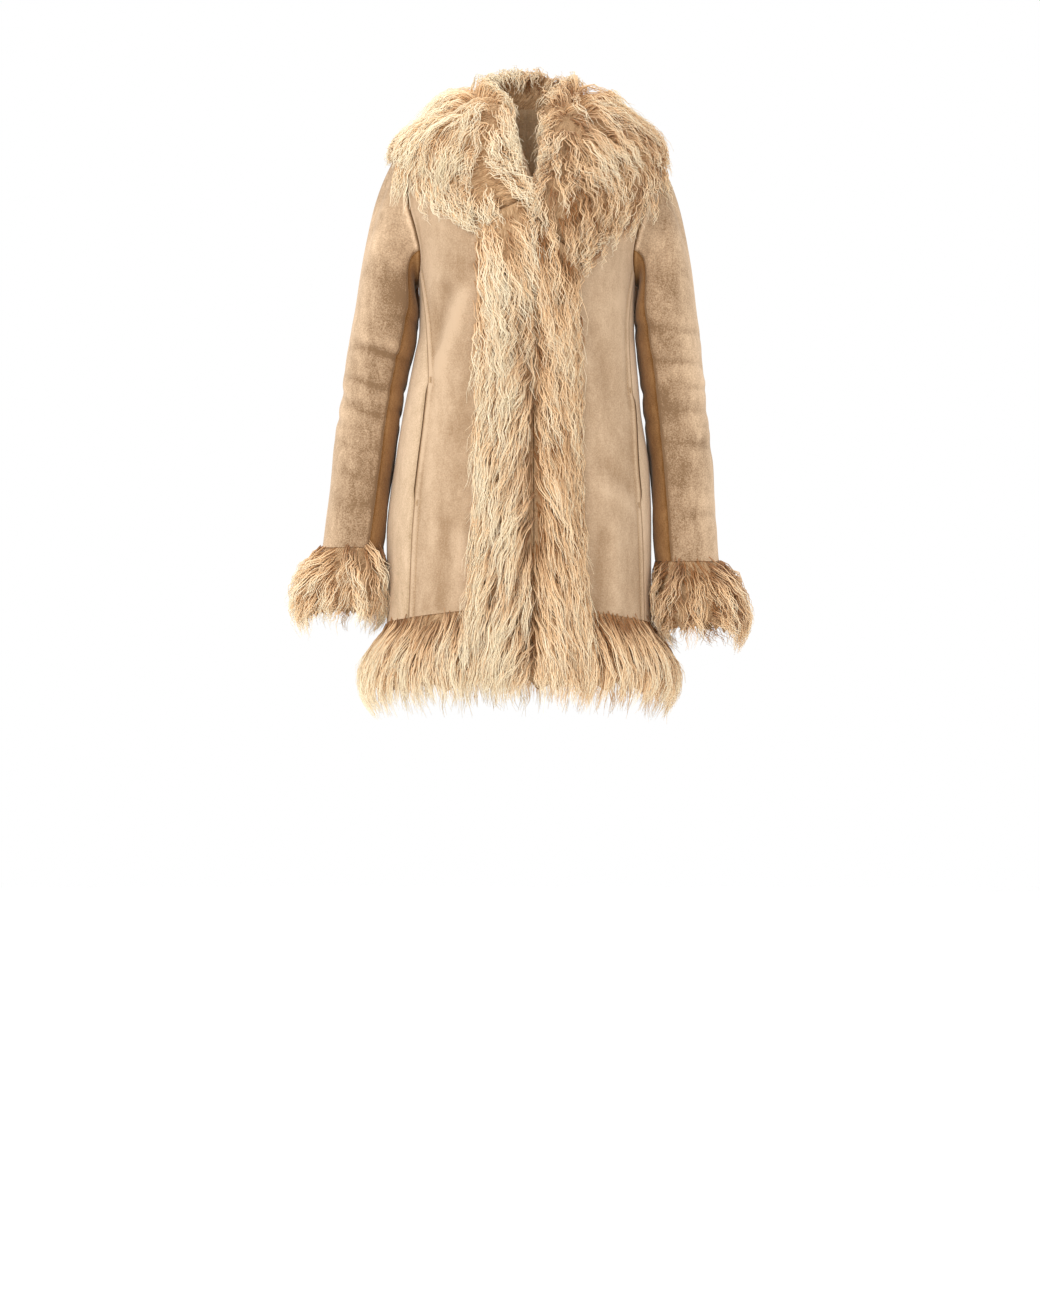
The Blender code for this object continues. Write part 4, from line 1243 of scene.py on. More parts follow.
# Shares across a front at which its last columns lie, close to the seam.
NEAR_EDGE = np.array([0.952, 0.970, 0.982, 0.990, 0.996, 1.0])
# Degrees and shares off a sleeve's seams at which its columns and rows lie closest.
NEAR_SEAM = np.array([0.0, 0.9, 2.2, 4.2, 7.0])
NEAR_RIM = np.array([0.0, 0.006, 0.013, 0.023, 0.04, 0.065])

DRAPE_COLUMNS = ("x_top", "z_top", "x_foot", "z_foot", "height", "width")
# Folds that hang in the fronts: a height over 0 is a ridge, and one under 0 is a trough.
DRAPES = {
    Side.RIGHT: (
        (-80, -248, -120, -350, 4.4, 10), (-108, -240, -127, -318, -3.6, 11),
        (-66, -310, -92, -420, -2.6, 15), (-104, -545, -112, -650, -2.6, 9),
        (-86, -560, -82, -650, 1.8, 9), (-128, -440, -122, -560, 1.2, 10),
    ),
    Side.LEFT: (
        (146, -505, 96, -466, -2.2, 9), (138, -524, 90, -496, 1.6, 10),
        (84, -290, 108, -376, -2.0, 12), (96, -560, 90, -650, -2.0, 10),
        (114, -550, 117, -650, 1.6, 9), (120, -250, 132, -350, 1.6, 10),
    ),
}


# Places on the right front where the nap lies paler, or darker below 0, as x, z, reach and how much.
NAP_MARKS: Rows = (
    (-122, -218, 18, 0.5), (-84, -210, 24, -0.6), (-124, -405, 24, 0.4), (-120, -320, 14, -0.15),
)
NAP_MARK_TALL = 2.2


def marked(points: Array, marks: Rows, tall: float = 1.0) -> Array:
    """Sum of soft marks seen from the front, each given as x, z, reach and strength.

    Args:
        points: Points in millimetres.
        marks: The marks.
        tall: How much further a mark reaches up and down than sideways.

    Returns:
        The sum at each point.
    """
    found = np.zeros(points.shape[:-1])
    for x, z, reach, strength in marks:
        off = (points[..., 0] - x) ** 2 + ((points[..., 2] - z) / tall) ** 2
        found += strength * np.exp(-(off / reach**2))
    return found


def drape(points: Array, side: Side) -> Array:
    """Height of the folds that hang in a front."""
    rise = np.zeros(points.shape[:-1])
    for one in (dict(zip(DRAPE_COLUMNS, fold)) for fold in DRAPES[side]):
        top = np.array([one["x_top"], one["z_top"]])
        run = np.array([one["x_foot"], one["z_foot"]]) - top
        off = points[..., [0, 2]] - top
        share = np.clip(off @ run / (run @ run), 0.0, 1.0)
        away = np.linalg.norm(off - share[..., None] * run, axis=-1)
        rise += one["height"] * bell(away, one["width"])
    return rise


def undulation(points: Array, seed: float) -> Array:
    """Soft unevenness of hung cloth: long shallow folds that run down it, in millimetres."""
    x, y, z = (points[..., i] for i in range(3))
    fold = 0.9 * np.sin(x / 21.0 + z / 140.0 + seed) + 0.8 * np.sin(y / 26.0 - z / 95.0 + 2 * seed)
    slow = 0.7 * np.sin(z / 60.0 + x / 75.0 + 3 * seed) + 0.5 * np.sin(z / 33.0 - x / 48.0 + seed)
    return (fold + slow) * smooth(-60.0, -420.0, z)


@dataclass
class SuedePiece(ABC):
    """A panel of faux suede, cut to its own shape and sewn to its neighbours."""

    side: Side
    cut: Cut
    finishes: Finishes
    wall: float = 2.6

    @property
    @abstractmethod
    def node(self) -> str:
        """The node that the panel replaces."""

    @abstractmethod
    def form(self) -> tuple[Array, Array]:
        """Grids of the outer points and of the directions out of them."""

    @abstractmethod
    def relief(self, points: Array) -> tuple[Array, Array]:
        """How far each point rises, and how much paler or darker it is painted, by its nap and by painted
        light and shade.
        """

    @property
    def finish(self) -> bpy.types.Material:
        """The outer face's finish."""
        return self.finishes.suede

    @property
    def slot(self) -> str:
        """The name of the panel's kind of suede."""
        return "suede"

    def dress(self) -> bpy.types.Object:
        """Make the panel, and put it in its node's place."""
        points, out = self.form()
        rise, nap_and_painted_light = self.relief(points)
        outer = points + rise[..., None] * out
        inner = outer - self.wall * out
        piece = wall_piece(f"{self.node}_suede", outer, inner, (self.finish, self.finishes.back), nap_and_painted_light=nap_and_painted_light)
        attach(piece, "root")
        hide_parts(self.node)
        LOG.info("%s: %d points", piece.name, len(piece.data.vertices))
        return piece


def lower_levels(count: int) -> Array:
    """Levels of a panel's rows from the hem up to the foot of the armhole."""
    return np.linspace(HEM, BODY.armhole(SIDE_FRONT_ANGLE, Side.LEFT)[1], count)


SHOULDER_LEVELS = np.array([-36.0, -32.0, -27.0, -21.0, -14.0, -7.0, NECK])


@dataclass
class FrontPanel(SuedePiece):
    """Front, from the free edge to the side-front seam, the armhole and the shoulder seam."""

    columns: int = 30

    @property
    def node(self) -> str:
        """The front's node."""
        return f"front_{self.side.word}"

    def form(self) -> tuple[Array, Array]:
        """Rows from the hem to the neck, each from the free edge to the side."""
        sign = self.side.value
        low = lower_levels(64)[:-1]
        seam = BODY.side_seam(SIDE_FRONT_ANGLE, self.side, low)
        seam = seam - sign * BODY.turn_for(SEAM / 2, seam, low)
        rim, rim_level = BODY.armhole(np.linspace(SIDE_FRONT_ANGLE, 0.0, 30), self.side)
        ridge = np.full(SHOULDER_LEVELS.shape, sign * 90.0)
        top = ridge - sign * BODY.turn_for(SEAM / 2, ridge, SHOULDER_LEVELS)
        edge = np.concatenate([seam, rim, top])
        level = np.concatenate([low, rim_level, SHOULDER_LEVELS])
        start = BODY.neck_edge(self.side, level)
        share = np.concatenate([np.linspace(0.0, 0.93, self.columns), NEAR_EDGE])
        angle = start[:, None] + (edge - start)[:, None] * share
        level = np.repeat(level[:, None], len(share), axis=1)
        return BODY.point(angle, level), BODY.normal(angle, level)

    def relief(self, points: Array) -> tuple[Array, Array]:
        """A lapped and stitched edge along the side-front seam, the pocket's mouth and hung folds, with
        painted light and shade on them.
        """
        z = points[..., 2]
        _, off = edge_distances(points)
        pocket = POCKETS[self.side].opening(z)
        lapped = 1 - smooth(-214.0, -204.0, z)
        folds = drape(points, self.side) * smooth(4.0, 22.0, off)
        rise = lapped * (1.5 * bell(off, 7.0) - 0.9 * bell(off, 2.6, 9.0))
        rise -= (1 - lapped) * 2.0 * bell(off, 2.5)
        rise += POCKETS[self.side].gape * pocket * np.exp(-off / 11.0) + folds
        rise += undulation(points, 0.6 * self.side.value) * smooth(0.0, 30.0, off)
        # Painted highlight on the lapped lip, and painted shade in the groove behind it.
        nap_and_painted_light = 0.45 * bell(off, 2.6, 4.0) - 0.35 * bell(off, 3.0, 9.0)
        # Painted shade down in the seam, wider and deeper in the pocket's mouth.
        nap_and_painted_light -= (1.9 + 1.2 * pocket) * bell(off, 1.3 + 1.0 * pocket)
        # Painted light and shade on the folds, and painted light higher up, which lifts the shade under the
        # collar.
        nap_and_painted_light += 0.16 * folds + 0.2 * smooth(-430.0, -230.0, z)
        return rise, nap_and_painted_light + marked(points, NAP_MARKS, NAP_MARK_TALL)


@dataclass
class BackPanel(SuedePiece):
    """Half of the back, from the side-back seam to the seam down its middle."""

    columns: int = 26

    @property
    def node(self) -> str:
        """The back half's node."""
        return f"back_{self.side.word}"

    def form(self) -> tuple[Array, Array]:
        """Rows from the hem to the neck, each from the side to the middle."""
        sign = self.side.value
        low = lower_levels(50)[:-1]
        seam = BODY.side_seam(SIDE_BACK_ANGLE, self.side, low)
        seam = seam + sign * BODY.turn_for(SEAM / 2, seam, low)
        rim, rim_level = BODY.armhole(np.linspace(SIDE_BACK_ANGLE, 360.0, 26), self.side)
        middle = np.full(SHOULDER_LEVELS.shape, sign * 90.0)
        top = sign * (90.0 + BODY.turn_for(SEAM / 2, middle, SHOULDER_LEVELS))
        edge = np.concatenate([seam, rim, top])
        level = np.concatenate([low, rim_level, SHOULDER_LEVELS])
        end = sign * (180.0 - BODY.turn_for(SEAM / 2, np.full(level.shape, 180.0), level))
        share = np.linspace(0.0, 1.0, self.columns + 1)
        angle = edge[:, None] + (end - edge)[:, None] * share
        level = np.repeat(level[:, None], self.columns + 1, axis=1)
        return BODY.point(angle, level), BODY.normal(angle, level)

    def relief(self, points: Array) -> tuple[Array, Array]:
        """Edges that roll down into the side seam and the middle seam, with painted shade in them."""
        from_side, from_middle = edge_distances(points)
        rise = -1.1 * bell(from_side, 3.0) - 1.1 * bell(from_middle, 3.0)
        rise += 0.7 * bell(from_middle, 4.0, 6.0)
        rise += 1.4 * undulation(points, 1.7) * smooth(0.0, 30.0, from_side) * smooth(0.0, 20.0, from_middle)
        # Painted shade in both seams.
        nap_and_painted_light = -0.35 * bell(np.minimum(from_side, from_middle), 3.0)
        return rise, nap_and_painted_light


@dataclass
class SidePanel(SuedePiece):
    """Side panel under the arm, whose top edge is the foot of the armhole."""

    columns: int = 22

    @property
    def node(self) -> str:
        """The side panel's node."""
        return f"side_{self.side.word}"

    @property
    def finish(self) -> bpy.types.Material:
        """The paler suede of the sides."""
        return self.finishes.side_suede

    def form(self) -> tuple[Array, Array]:
        """Rows from the hem to the armhole, each from the side-front to the side-back seam."""
        sign, ends = self.side.value, (SIDE_FRONT_ANGLE, SIDE_BACK_ANGLE)
        low = lower_levels(64)
        share = ((low - low[0]) / (low[-1] - low[0]))[:, None]
        hole = np.linspace(*ends, self.columns + 1)
        top_angle, top_level = BODY.armhole(hole, self.side)
        front_foot, back_foot = top_angle[0], top_angle[-1]
        level = low[0] + share * (top_level - low[0])
        seams = [BODY.side_seam(end, self.side, np.minimum(level, low[-1])) for end in ends]
        even = np.linspace(0.0, 1.0, self.columns + 1)
        spread = even + share * ((top_angle - front_foot) / (back_foot - front_foot) - even)
        angle = seams[0] + spread * (seams[1] - seams[0])
        inward = sign * np.where(even == 0.0, 1.0, np.where(even == 1.0, -1.0, 0.0))
        angle = angle + inward * BODY.turn_for(SEAM / 2, angle, level)
        return BODY.point(angle, level), BODY.normal(angle, level)

    def relief(self, points: Array) -> tuple[Array, Array]:
        """Edges that dip under the front's lap and into the pocket's mouth, with painted shade there."""
        z = points[..., 2]
        from_front, from_back = edge_distances(points)
        pocket = POCKETS[self.side].opening(z)
        rise = -1.6 * bell(from_front, 4.0) - 1.1 * bell(from_back, 3.0)
        rise -= 3.4 * pocket * bell(from_front, 10.0)
        rise += 0.6 * undulation(points, 0.9) * smooth(0.0, 25.0, from_front) * smooth(0.0, 25.0, from_back)
        # Painted shade under the front's lap, in the back seam and deep in the pocket's mouth.
        nap_and_painted_light = -0.6 * bell(from_front, 3.5) - 0.3 * bell(from_back, 3.0)
        nap_and_painted_light -= 2.4 * pocket * bell(from_front, 5.0)
        return rise, nap_and_painted_light + (0.35 if self.side is Side.LEFT else 0.0)


@dataclass
class SleevePiece(SuedePiece):
    """The upper or the under piece of a two-piece sleeve."""

    upper: bool = True
    arm_radius: float = 46.0

    @property
    def node(self) -> str:
        """The sleeve piece's node."""
        return f"sleeve_{self.side.word}_{'upper' if self.upper else 'under'}"

    @property
    def finish(self) -> bpy.types.Material:
        """The darker suede of the sleeves, darkest underneath, for the under piece's reversed nap and for
        painted shade under the arm.
        """
        return self.finishes.sleeve if self.upper else self.finishes.under_sleeve

    @property
    def slot(self) -> str:
        """The name of the sleeves' kind of suede."""
        return "sleeve_suede"

    def span(self) -> tuple[float, float]:
        """Turn round the sleeve at which the piece starts and ends."""
        if self.upper:
            return SLEEVE_BACK_SEAM, SLEEVE_FRONT_SEAM + 360.0
        return SLEEVE_FRONT_SEAM, SLEEVE_BACK_SEAM

    def grid(self) -> tuple[Array, Array]:
        """Turns and rows of the piece's points."""
        start, end = self.span()
        middle = np.arange(start + 11.5, end - 11.0, 5.2 if self.upper else 9.0)
        angle = np.concatenate([start + NEAR_SEAM, middle, end - NEAR_SEAM[::-1]])
        row = np.concatenate([NEAR_RIM, np.linspace(0.1, 0.95, 17), 1 + np.linspace(0.0, 1.0, 88)])
        return np.meshgrid(angle, row)

    def form(self) -> tuple[Array, Array]:
        """Rows from the armhole to the cuff."""
        angle, row = self.grid()
        sleeve = Sleeve(self.side)
        width = np.linalg.norm(sleeve.point(angle + 1, row) - sleeve.point(angle - 1, row), axis=-1)
        ease = np.zeros_like(angle)
        ease[:, 0], ease[:, -1] = 1.0, -1.0
        angle = angle + ease * SEAM / width
        return sleeve.point(angle, row), sleeve.normal(angle, row)

    def relief(self, points: Array) -> tuple[Array, Array]:
        """Sharp folds where the arm bends, over soft bulges, and edges that dip into the seams, with painted
        shade in the seams and creases and painted light on the ridges and the arm's outer edge.
        """
        angle, row = self.grid()
        z = points[..., 2]
        first, last = edge_distances(points)
        edge = np.minimum(first, last)
        cap = row * 150.0
        rise = -1.1 * bell(edge, 3.0) - 2.0 * bell(cap, 2.5)
        rise += 0.8 * bell(cap, 4.0, 6.0)
        # Painted shade in the seams and round the armhole, and a painted highlight on the raised edge beside
        # it.
        nap_and_painted_light = -0.6 * bell(edge, 2.5) - 2.2 * bell(cap, 1.8)
        nap_and_painted_light += 0.4 * bell(cap, 4.0, 6.0)
        for one in (dict(zip(CREASE_COLUMNS, fold)) for fold in FINE_CREASES[self.side]):
            off = (angle - one["angle"] + 180) % 360 - 180
            down = (z - one["z"] + FINE_SLANT[self.side] * off + 2.0 * np.sin(off / 15.0)) / one["width"]
            fade = bell(off, one["spread"])
            trough = np.exp(-down * down)
            ridge = np.exp(-((down - 2.0) ** 2) / 1.6) + 0.6 * np.exp(-((down + 2.0) ** 2) / 1.6)
            rise += 0.75 * one["depth"] * fade * (0.55 * ridge - trough)
            # Painted shade in each crease, and painted light on the ridges beside it.
            nap_and_painted_light += 0.055 * one["depth"] * fade * (0.6 * ridge - 1.2 * np.exp(-2.5 * down * down))
        bulge = 0.5 * np.sin(z / 19.0 + angle / 31.0) + 0.5 * np.sin(z / 31.0 - angle / 22.0 + 1.1)
        rise += bulge * smooth(0.3, 0.9, row) * smooth(0.0, 18.0, edge) * (1 - smooth(1.92, 2.0, row))
        # Painted light along the arm's outer edge, where the key light falls, and painted shade towards the
        # body.
        sections = SLEEVE_SECTIONS[self.side]
        outward = self.side.value * (points[..., 0] - sections.read("centre_x", z)) / self.arm_radius
        if self.upper:
            nap_and_painted_light += 0.36 * smooth(0.2, 1.1, outward) - 0.16
            nap_and_painted_light -= 0.26 * (1 - smooth(-0.3, 0.8, outward)) * (1 - smooth(-240.0, -180.0, z))
        return rise, nap_and_painted_light + 0.08 * smooth(-400.0, -250.0, z) + 0.12 * (1 - smooth(-530.0, -430.0, z))


# --- Fur ------------------------------------------------------------------------------------------


@dataclass(frozen=True)
class Pile:
    """How the fur of a strip grows. Lengths are in millimetres."""

    locks: int
    strands: int
    rings: int
    length: float
    length_spread: float
    spread: float
    wave: float
    wave_length: float
    width: float
    clump: float
    stray: float
    sway: float
    drift: float


COLLAR_PILE = Pile(
    locks=760, strands=9, rings=9, length=60.0, length_spread=0.26, spread=7.4, wave=2.8,
    wave_length=20.0, width=1.4, clump=0.5, stray=11.0, sway=0.17, drift=0.18,
)
BAND_PILE = Pile(
    locks=400, strands=8, rings=7, length=84.0, length_spread=0.22, spread=5.8, wave=2.2,
    wave_length=38.0, width=1.35, clump=0.45, stray=12.0, sway=0.10, drift=0.12,
)
HEM_PILE = Pile(
    locks=560, strands=8, rings=6, length=82.0, length_spread=0.22, spread=5.8, wave=1.8,
    wave_length=42.0, width=1.35, clump=0.5, stray=9.0, sway=0.10, drift=0.08,
)
CUFF_PILE = Pile(
    locks=186, strands=8, rings=7, length=62.0, length_spread=0.22, spread=6.8, wave=2.8,
    wave_length=26.0, width=1.45, clump=0.42, stray=10.0, sway=0.17, drift=0.15,
)
# Shares of a lock's length at which its path is set, and how many places are tried for each lock.
PATH_SHARES = (0.0, 0.3, 0.66, 1.0)
TRIES = 6
# Steps of an even scatter on a square, which never falls into rows.
SCATTER_STEPS = (0.7548776662466927, 0.5698402909980532)
# The top of a sleeve's head, and its half width and half depth, for the fur that lies on it.
SLEEVE_HEAD = (138.0, 4.0, -62.0)
SLEEVE_HEAD_HALF = (50.0, 64.0)
SLEEVE_HEAD_TAPER = 6.0
SLEEVE_HEAD_INNER_X = 110.0

# Places in front where the locks part, as x, z, reach and how dark the painted shade is there.
PARTINGS: Rows = (
    (66, -138, 26, 1.2), (86, -112, 16, 0.7), (-64, -112, 22, 0.6), (-30, -160, 18, 0.5),
    (40, -225, 24, 0.6), (6, -330, 22, 0.5), (10, -455, 34, 0.8), (24, -560, 30, 0.7), (-20, -600, 24, 0.4),
)


def pile_profile(share: Array, values: dict[str, Array], top: float, power: float) -> Array:
    """Height of the pile across a strip: steep from the inner edge to its top, then a slope outward."""
    share = np.clip(share, 0.0, 1.0)
    inner, crest, outer = values["inner_lip"], values["crest"], values["outer_lip"]
    rise = inner + (crest - inner) * np.sin(np.pi / 2 * np.minimum(share / top, 1.0))
    past = np.maximum(share - top, 0.0) / (1 - top)
    slope = outer + (crest - outer) * (1 - past**power) ** (2 / power)
    return np.where(share < top, rise, slope)


def scattered(count: int, salt: int) -> Array:
    """Evenly scattered pairs of numbers from 0 to 1, with no clumps or rows."""
    steps = np.arange(1, count + 1)[:, None] * np.array(SCATTER_STEPS)
    return (steps + 0.137 * salt) % 1.0


@dataclass
class FurStrip(ABC):
    """A strip of faux fur: a thin pelt on the coat, with locks of strands rooted in it.

    A place on a strip is a share along it, a share across it or down it, and a share of the pile's
    height. Shares may run past the strip's ends, where the strands hang over.
    """

    pile: Pile
    cut: Cut
    finishes: Finishes
    seed: int
    core: float = 0.46
    core_rows: int = 60
    core_columns: int = 12
    closed: bool = False
    pelt_end: float = 1.0
    ragged: float = 0.08
    crowding: float = 1.0
    pale: float = 0.0
    parts: int = 1
    rooted: tuple[tuple[float, float], tuple[float, float]] = ((0.0, 1.0), (0.0, 0.95))

    @property
    @abstractmethod
    def node(self) -> str:
        """The node that the strip replaces."""

    @abstractmethod
    def place(self, u: Array, v: Array, height: Array) -> Array:
        """Points of the strip.

        Args:
            u: Shares along the strip.
            v: Shares across the strip, or down it.
            height: Shares of the pile's height.

        Returns:
            Points in millimetres.
        """

    @abstractmethod
    def comb(self, u: Array, v: Array) -> tuple[Array, Array]:
        """How far the strands run along the strip and across it, for each millimetre of their length."""

    def settle(self, points: Array) -> Array:
        """Points of the strands, moved clear of what they lie on."""
        return points

    def trim(self, u: Array, v: Array, du: Array, dv: Array, rng: np.random.Generator) -> tuple[Array, Array]:
        """Shares that each strand runs along and across the strip, cut short at the strip's ends."""
        return du, dv

    def curl(self, u: Array) -> Array:
        """How much curlier than the strip's usual the fur is."""
        return np.ones_like(u)

    def painted_shade(self, points: Array) -> Array:
        """Painted shade on the locks: darker where they part down to their roots, and darker towards the
        wearer's left, away from the key light.
        """
        dark = marked(points, PARTINGS) * (points[..., 1] < 0)
        return dark + np.clip(0.014 * points[..., 0], -0.3, 0.5)

    def loft(self, points: Array) -> Array:
        """Share of the pile's height that the strands stand up to."""
        return np.ones(points.shape[:-1])

    def lock_height(self, u: Array, v: Array) -> Array:
        """Unevenness of the pelt, in locks."""
        ripple = np.sin(u * self.core_rows * 1.9 + 5.0 * v) * np.sin(v * 9.0 + u * 31.0)
        return 1 + 0.16 * ripple

    def pelt(self) -> bpy.types.Object:
        """The strip's backing and its dense underfur."""
        u, v = np.meshgrid(
            np.linspace(0.0, 1.0, self.core_rows + (not self.closed), endpoint=not self.closed),
            np.linspace(0.0, 1.0, self.core_columns + 1),
        )
        if self.along_u:
            u, v = u.T, v.T
        end = np.clip((1 - (u if self.along_u else v)) / 0.16, 0.0, 1.0) ** 0.5
        outer = self.place(*self.shorten(u, v), self.core * self.lock_height(u, v) * end + 0.04)
        inner = self.place(*self.shorten(u, v), np.zeros_like(u))
        return wall_piece(f"{self.node}_pelt", outer, inner, (self.finishes.pelt,), closed=self.closed)

    @property
    def along_u(self) -> bool:
        """Whether the strands run along the strip, and not across it."""
        return False

    def shorten(self, u: Array, v: Array) -> tuple[Array, Array]:
        """Places of the pelt, which ends unevenly above the strands' tips."""
        if self.pelt_end == 1.0:
            return u, v
        along, other = (u, v) if self.along_u else (v, u)
        ragged = self.ragged * (np.sin(other * TAU * 7) * np.sin(other * TAU * 18 + 1.0) - 0.5)
        along = along * (self.pelt_end + ragged)
        return (along, v) if self.along_u else (u, along)

    def roots(self, rng: np.random.Generator) -> tuple[Array, Array]:
        """Places of the locks, as many to each square millimetre all over the strip."""
        (u_low, u_high), (v_low, v_high) = self.rooted
        spots = scattered(self.pile.locks * TRIES, self.seed)
        u = u_low + (u_high - u_low) * spots[:, 0]
        v = v_low + (v_high - v_low) * spots[:, 1] ** self.crowding
        along, across = self.steps(u, v)
        area = np.linalg.norm(np.cross(along, across), axis=-1)
        keep = rng.random(len(u)) < area / np.quantile(area, 0.98)
        return u[keep][: self.pile.locks], v[keep][: self.pile.locks]

    def steps(self, u: Array, v: Array) -> tuple[Array, Array]:
        """How the strip's middle height moves for each share along it, and across it."""
        step, middle = 0.01, np.full_like(u, 0.7)
        along = self.place(u + step, v, middle) - self.place(u - step, v, middle)
        across = self.place(u, v + step, middle) - self.place(u, v - step, middle)
        return along / (2 * step), across / (2 * step)

    def locks(self) -> list[bpy.types.Object]:
        """Grow the strands, as many pieces as the strip has parts."""
        rng = np.random.default_rng(self.seed)
        pile = self.pile
        u, v = self.roots(rng)
        count = len(u)
        along, across = self.steps(u, v)
        length = pile.length * (1 + pile.length_spread * rng.uniform(-1, 1, count))
        run_u, run_v = self.comb(u, v)
        swing = rng.normal(0.0, pile.sway, count) + pile.drift * np.sin(23 * u + 7 * v + self.seed)
        run_u, run_v = (
            run_u * np.cos(swing) - run_v * np.sin(swing),
            run_u * np.sin(swing) + run_v * np.cos(swing),
        )
        du = run_u * length / np.maximum(np.linalg.norm(along, axis=-1), 60.0)
        dv = run_v * length / np.maximum(np.linalg.norm(across, axis=-1), 30.0)
        du, dv = self.trim(u, v, du, dv, rng)
        depth = rng.random(count)
        lift = (1.08 - 0.46 * depth**1.4) * self.loft(self.place(u, v, np.ones(count)))
        end = 0.88 + rng.uniform(-0.16, 0.16, count)
        heights = (np.full(count, self.core * 0.6), 0.86 * lift, lift, end * lift)
        stops = [
            self.settle(self.place(u + du * share, v + dv * share, height))
            for share, height in zip(PATH_SHARES, heights)
        ]
        # The two handles that bring a curve through the stops.
        path_1 = (-5 * stops[0] + 18 * stops[1] - 9 * stops[2] + 2 * stops[3]) / 6
        path_2 = (2 * stops[0] - 9 * stops[1] + 18 * stops[2] - 5 * stops[3]) / 6
        comb = unit(stops[3] - stops[0])
        out = unit(self.place(u, v, np.ones(count)) - self.place(u, v, np.zeros(count)))
        side = unit(np.cross(comb, out))
        # Painted shade: locks set deeper in the pile are darker, and so are the partings and the wearer's
        # left; pale makes a whole strip paler or darker.
        curl, shade = self.curl(u), 0.55 + self.pale - 1.1 * depth - self.painted_shade(stops[1])
        grow = LockGrower()
        pieces = []
        for part in range(self.parts):
            here = slice(part, None, self.parts)
            points = seeded_object(
                f"{self.node}_roots", stops[0][here] * MM,
                {
                    "path_0": stops[0][here] * MM, "path_1": path_1[here] * MM,
                    "path_2": path_2[here] * MM, "path_3": stops[3][here] * MM,
                    "across": side[here], "out": unit(np.cross(side, comb))[here], "comb": comb[here],
                    "spread": np.full(count, pile.spread * MM)[here],
                    "wave": (pile.wave * MM * curl * rng.uniform(0.6, 1.3, count))[here],
                    "waves": (length / pile.wave_length * np.sqrt(curl))[here],
                    "phase": rng.random(count)[here],
                    "shade": (shade + rng.uniform(-0.35, 0.35, count))[here],
                },
            )
            name = f"{self.node}_strands_{part + 1}"
            piece = grow.apply(
                points, name,
                {
                    "Strands": pile.strands, "Rings": pile.rings, "Width": pile.width * MM,
                    "Clump": pile.clump, "Stray": pile.stray * MM, "Seed": self.seed + 100 * part,
                    "Material": self.finishes.fur,
                },
            )
            pieces.append(piece)
        return pieces

    def dress(self) -> list[bpy.types.Object]:
        """Make the pelt and its strands, and put them in their node's place."""
        pelt, strands = self.pelt(), self.locks()
        for piece in (pelt, *strands):
            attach(piece, "root")
            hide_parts(self.node)
            LOG.info("%s: %d points", piece.name, len(piece.data.vertices))
        return [pelt, *strands]


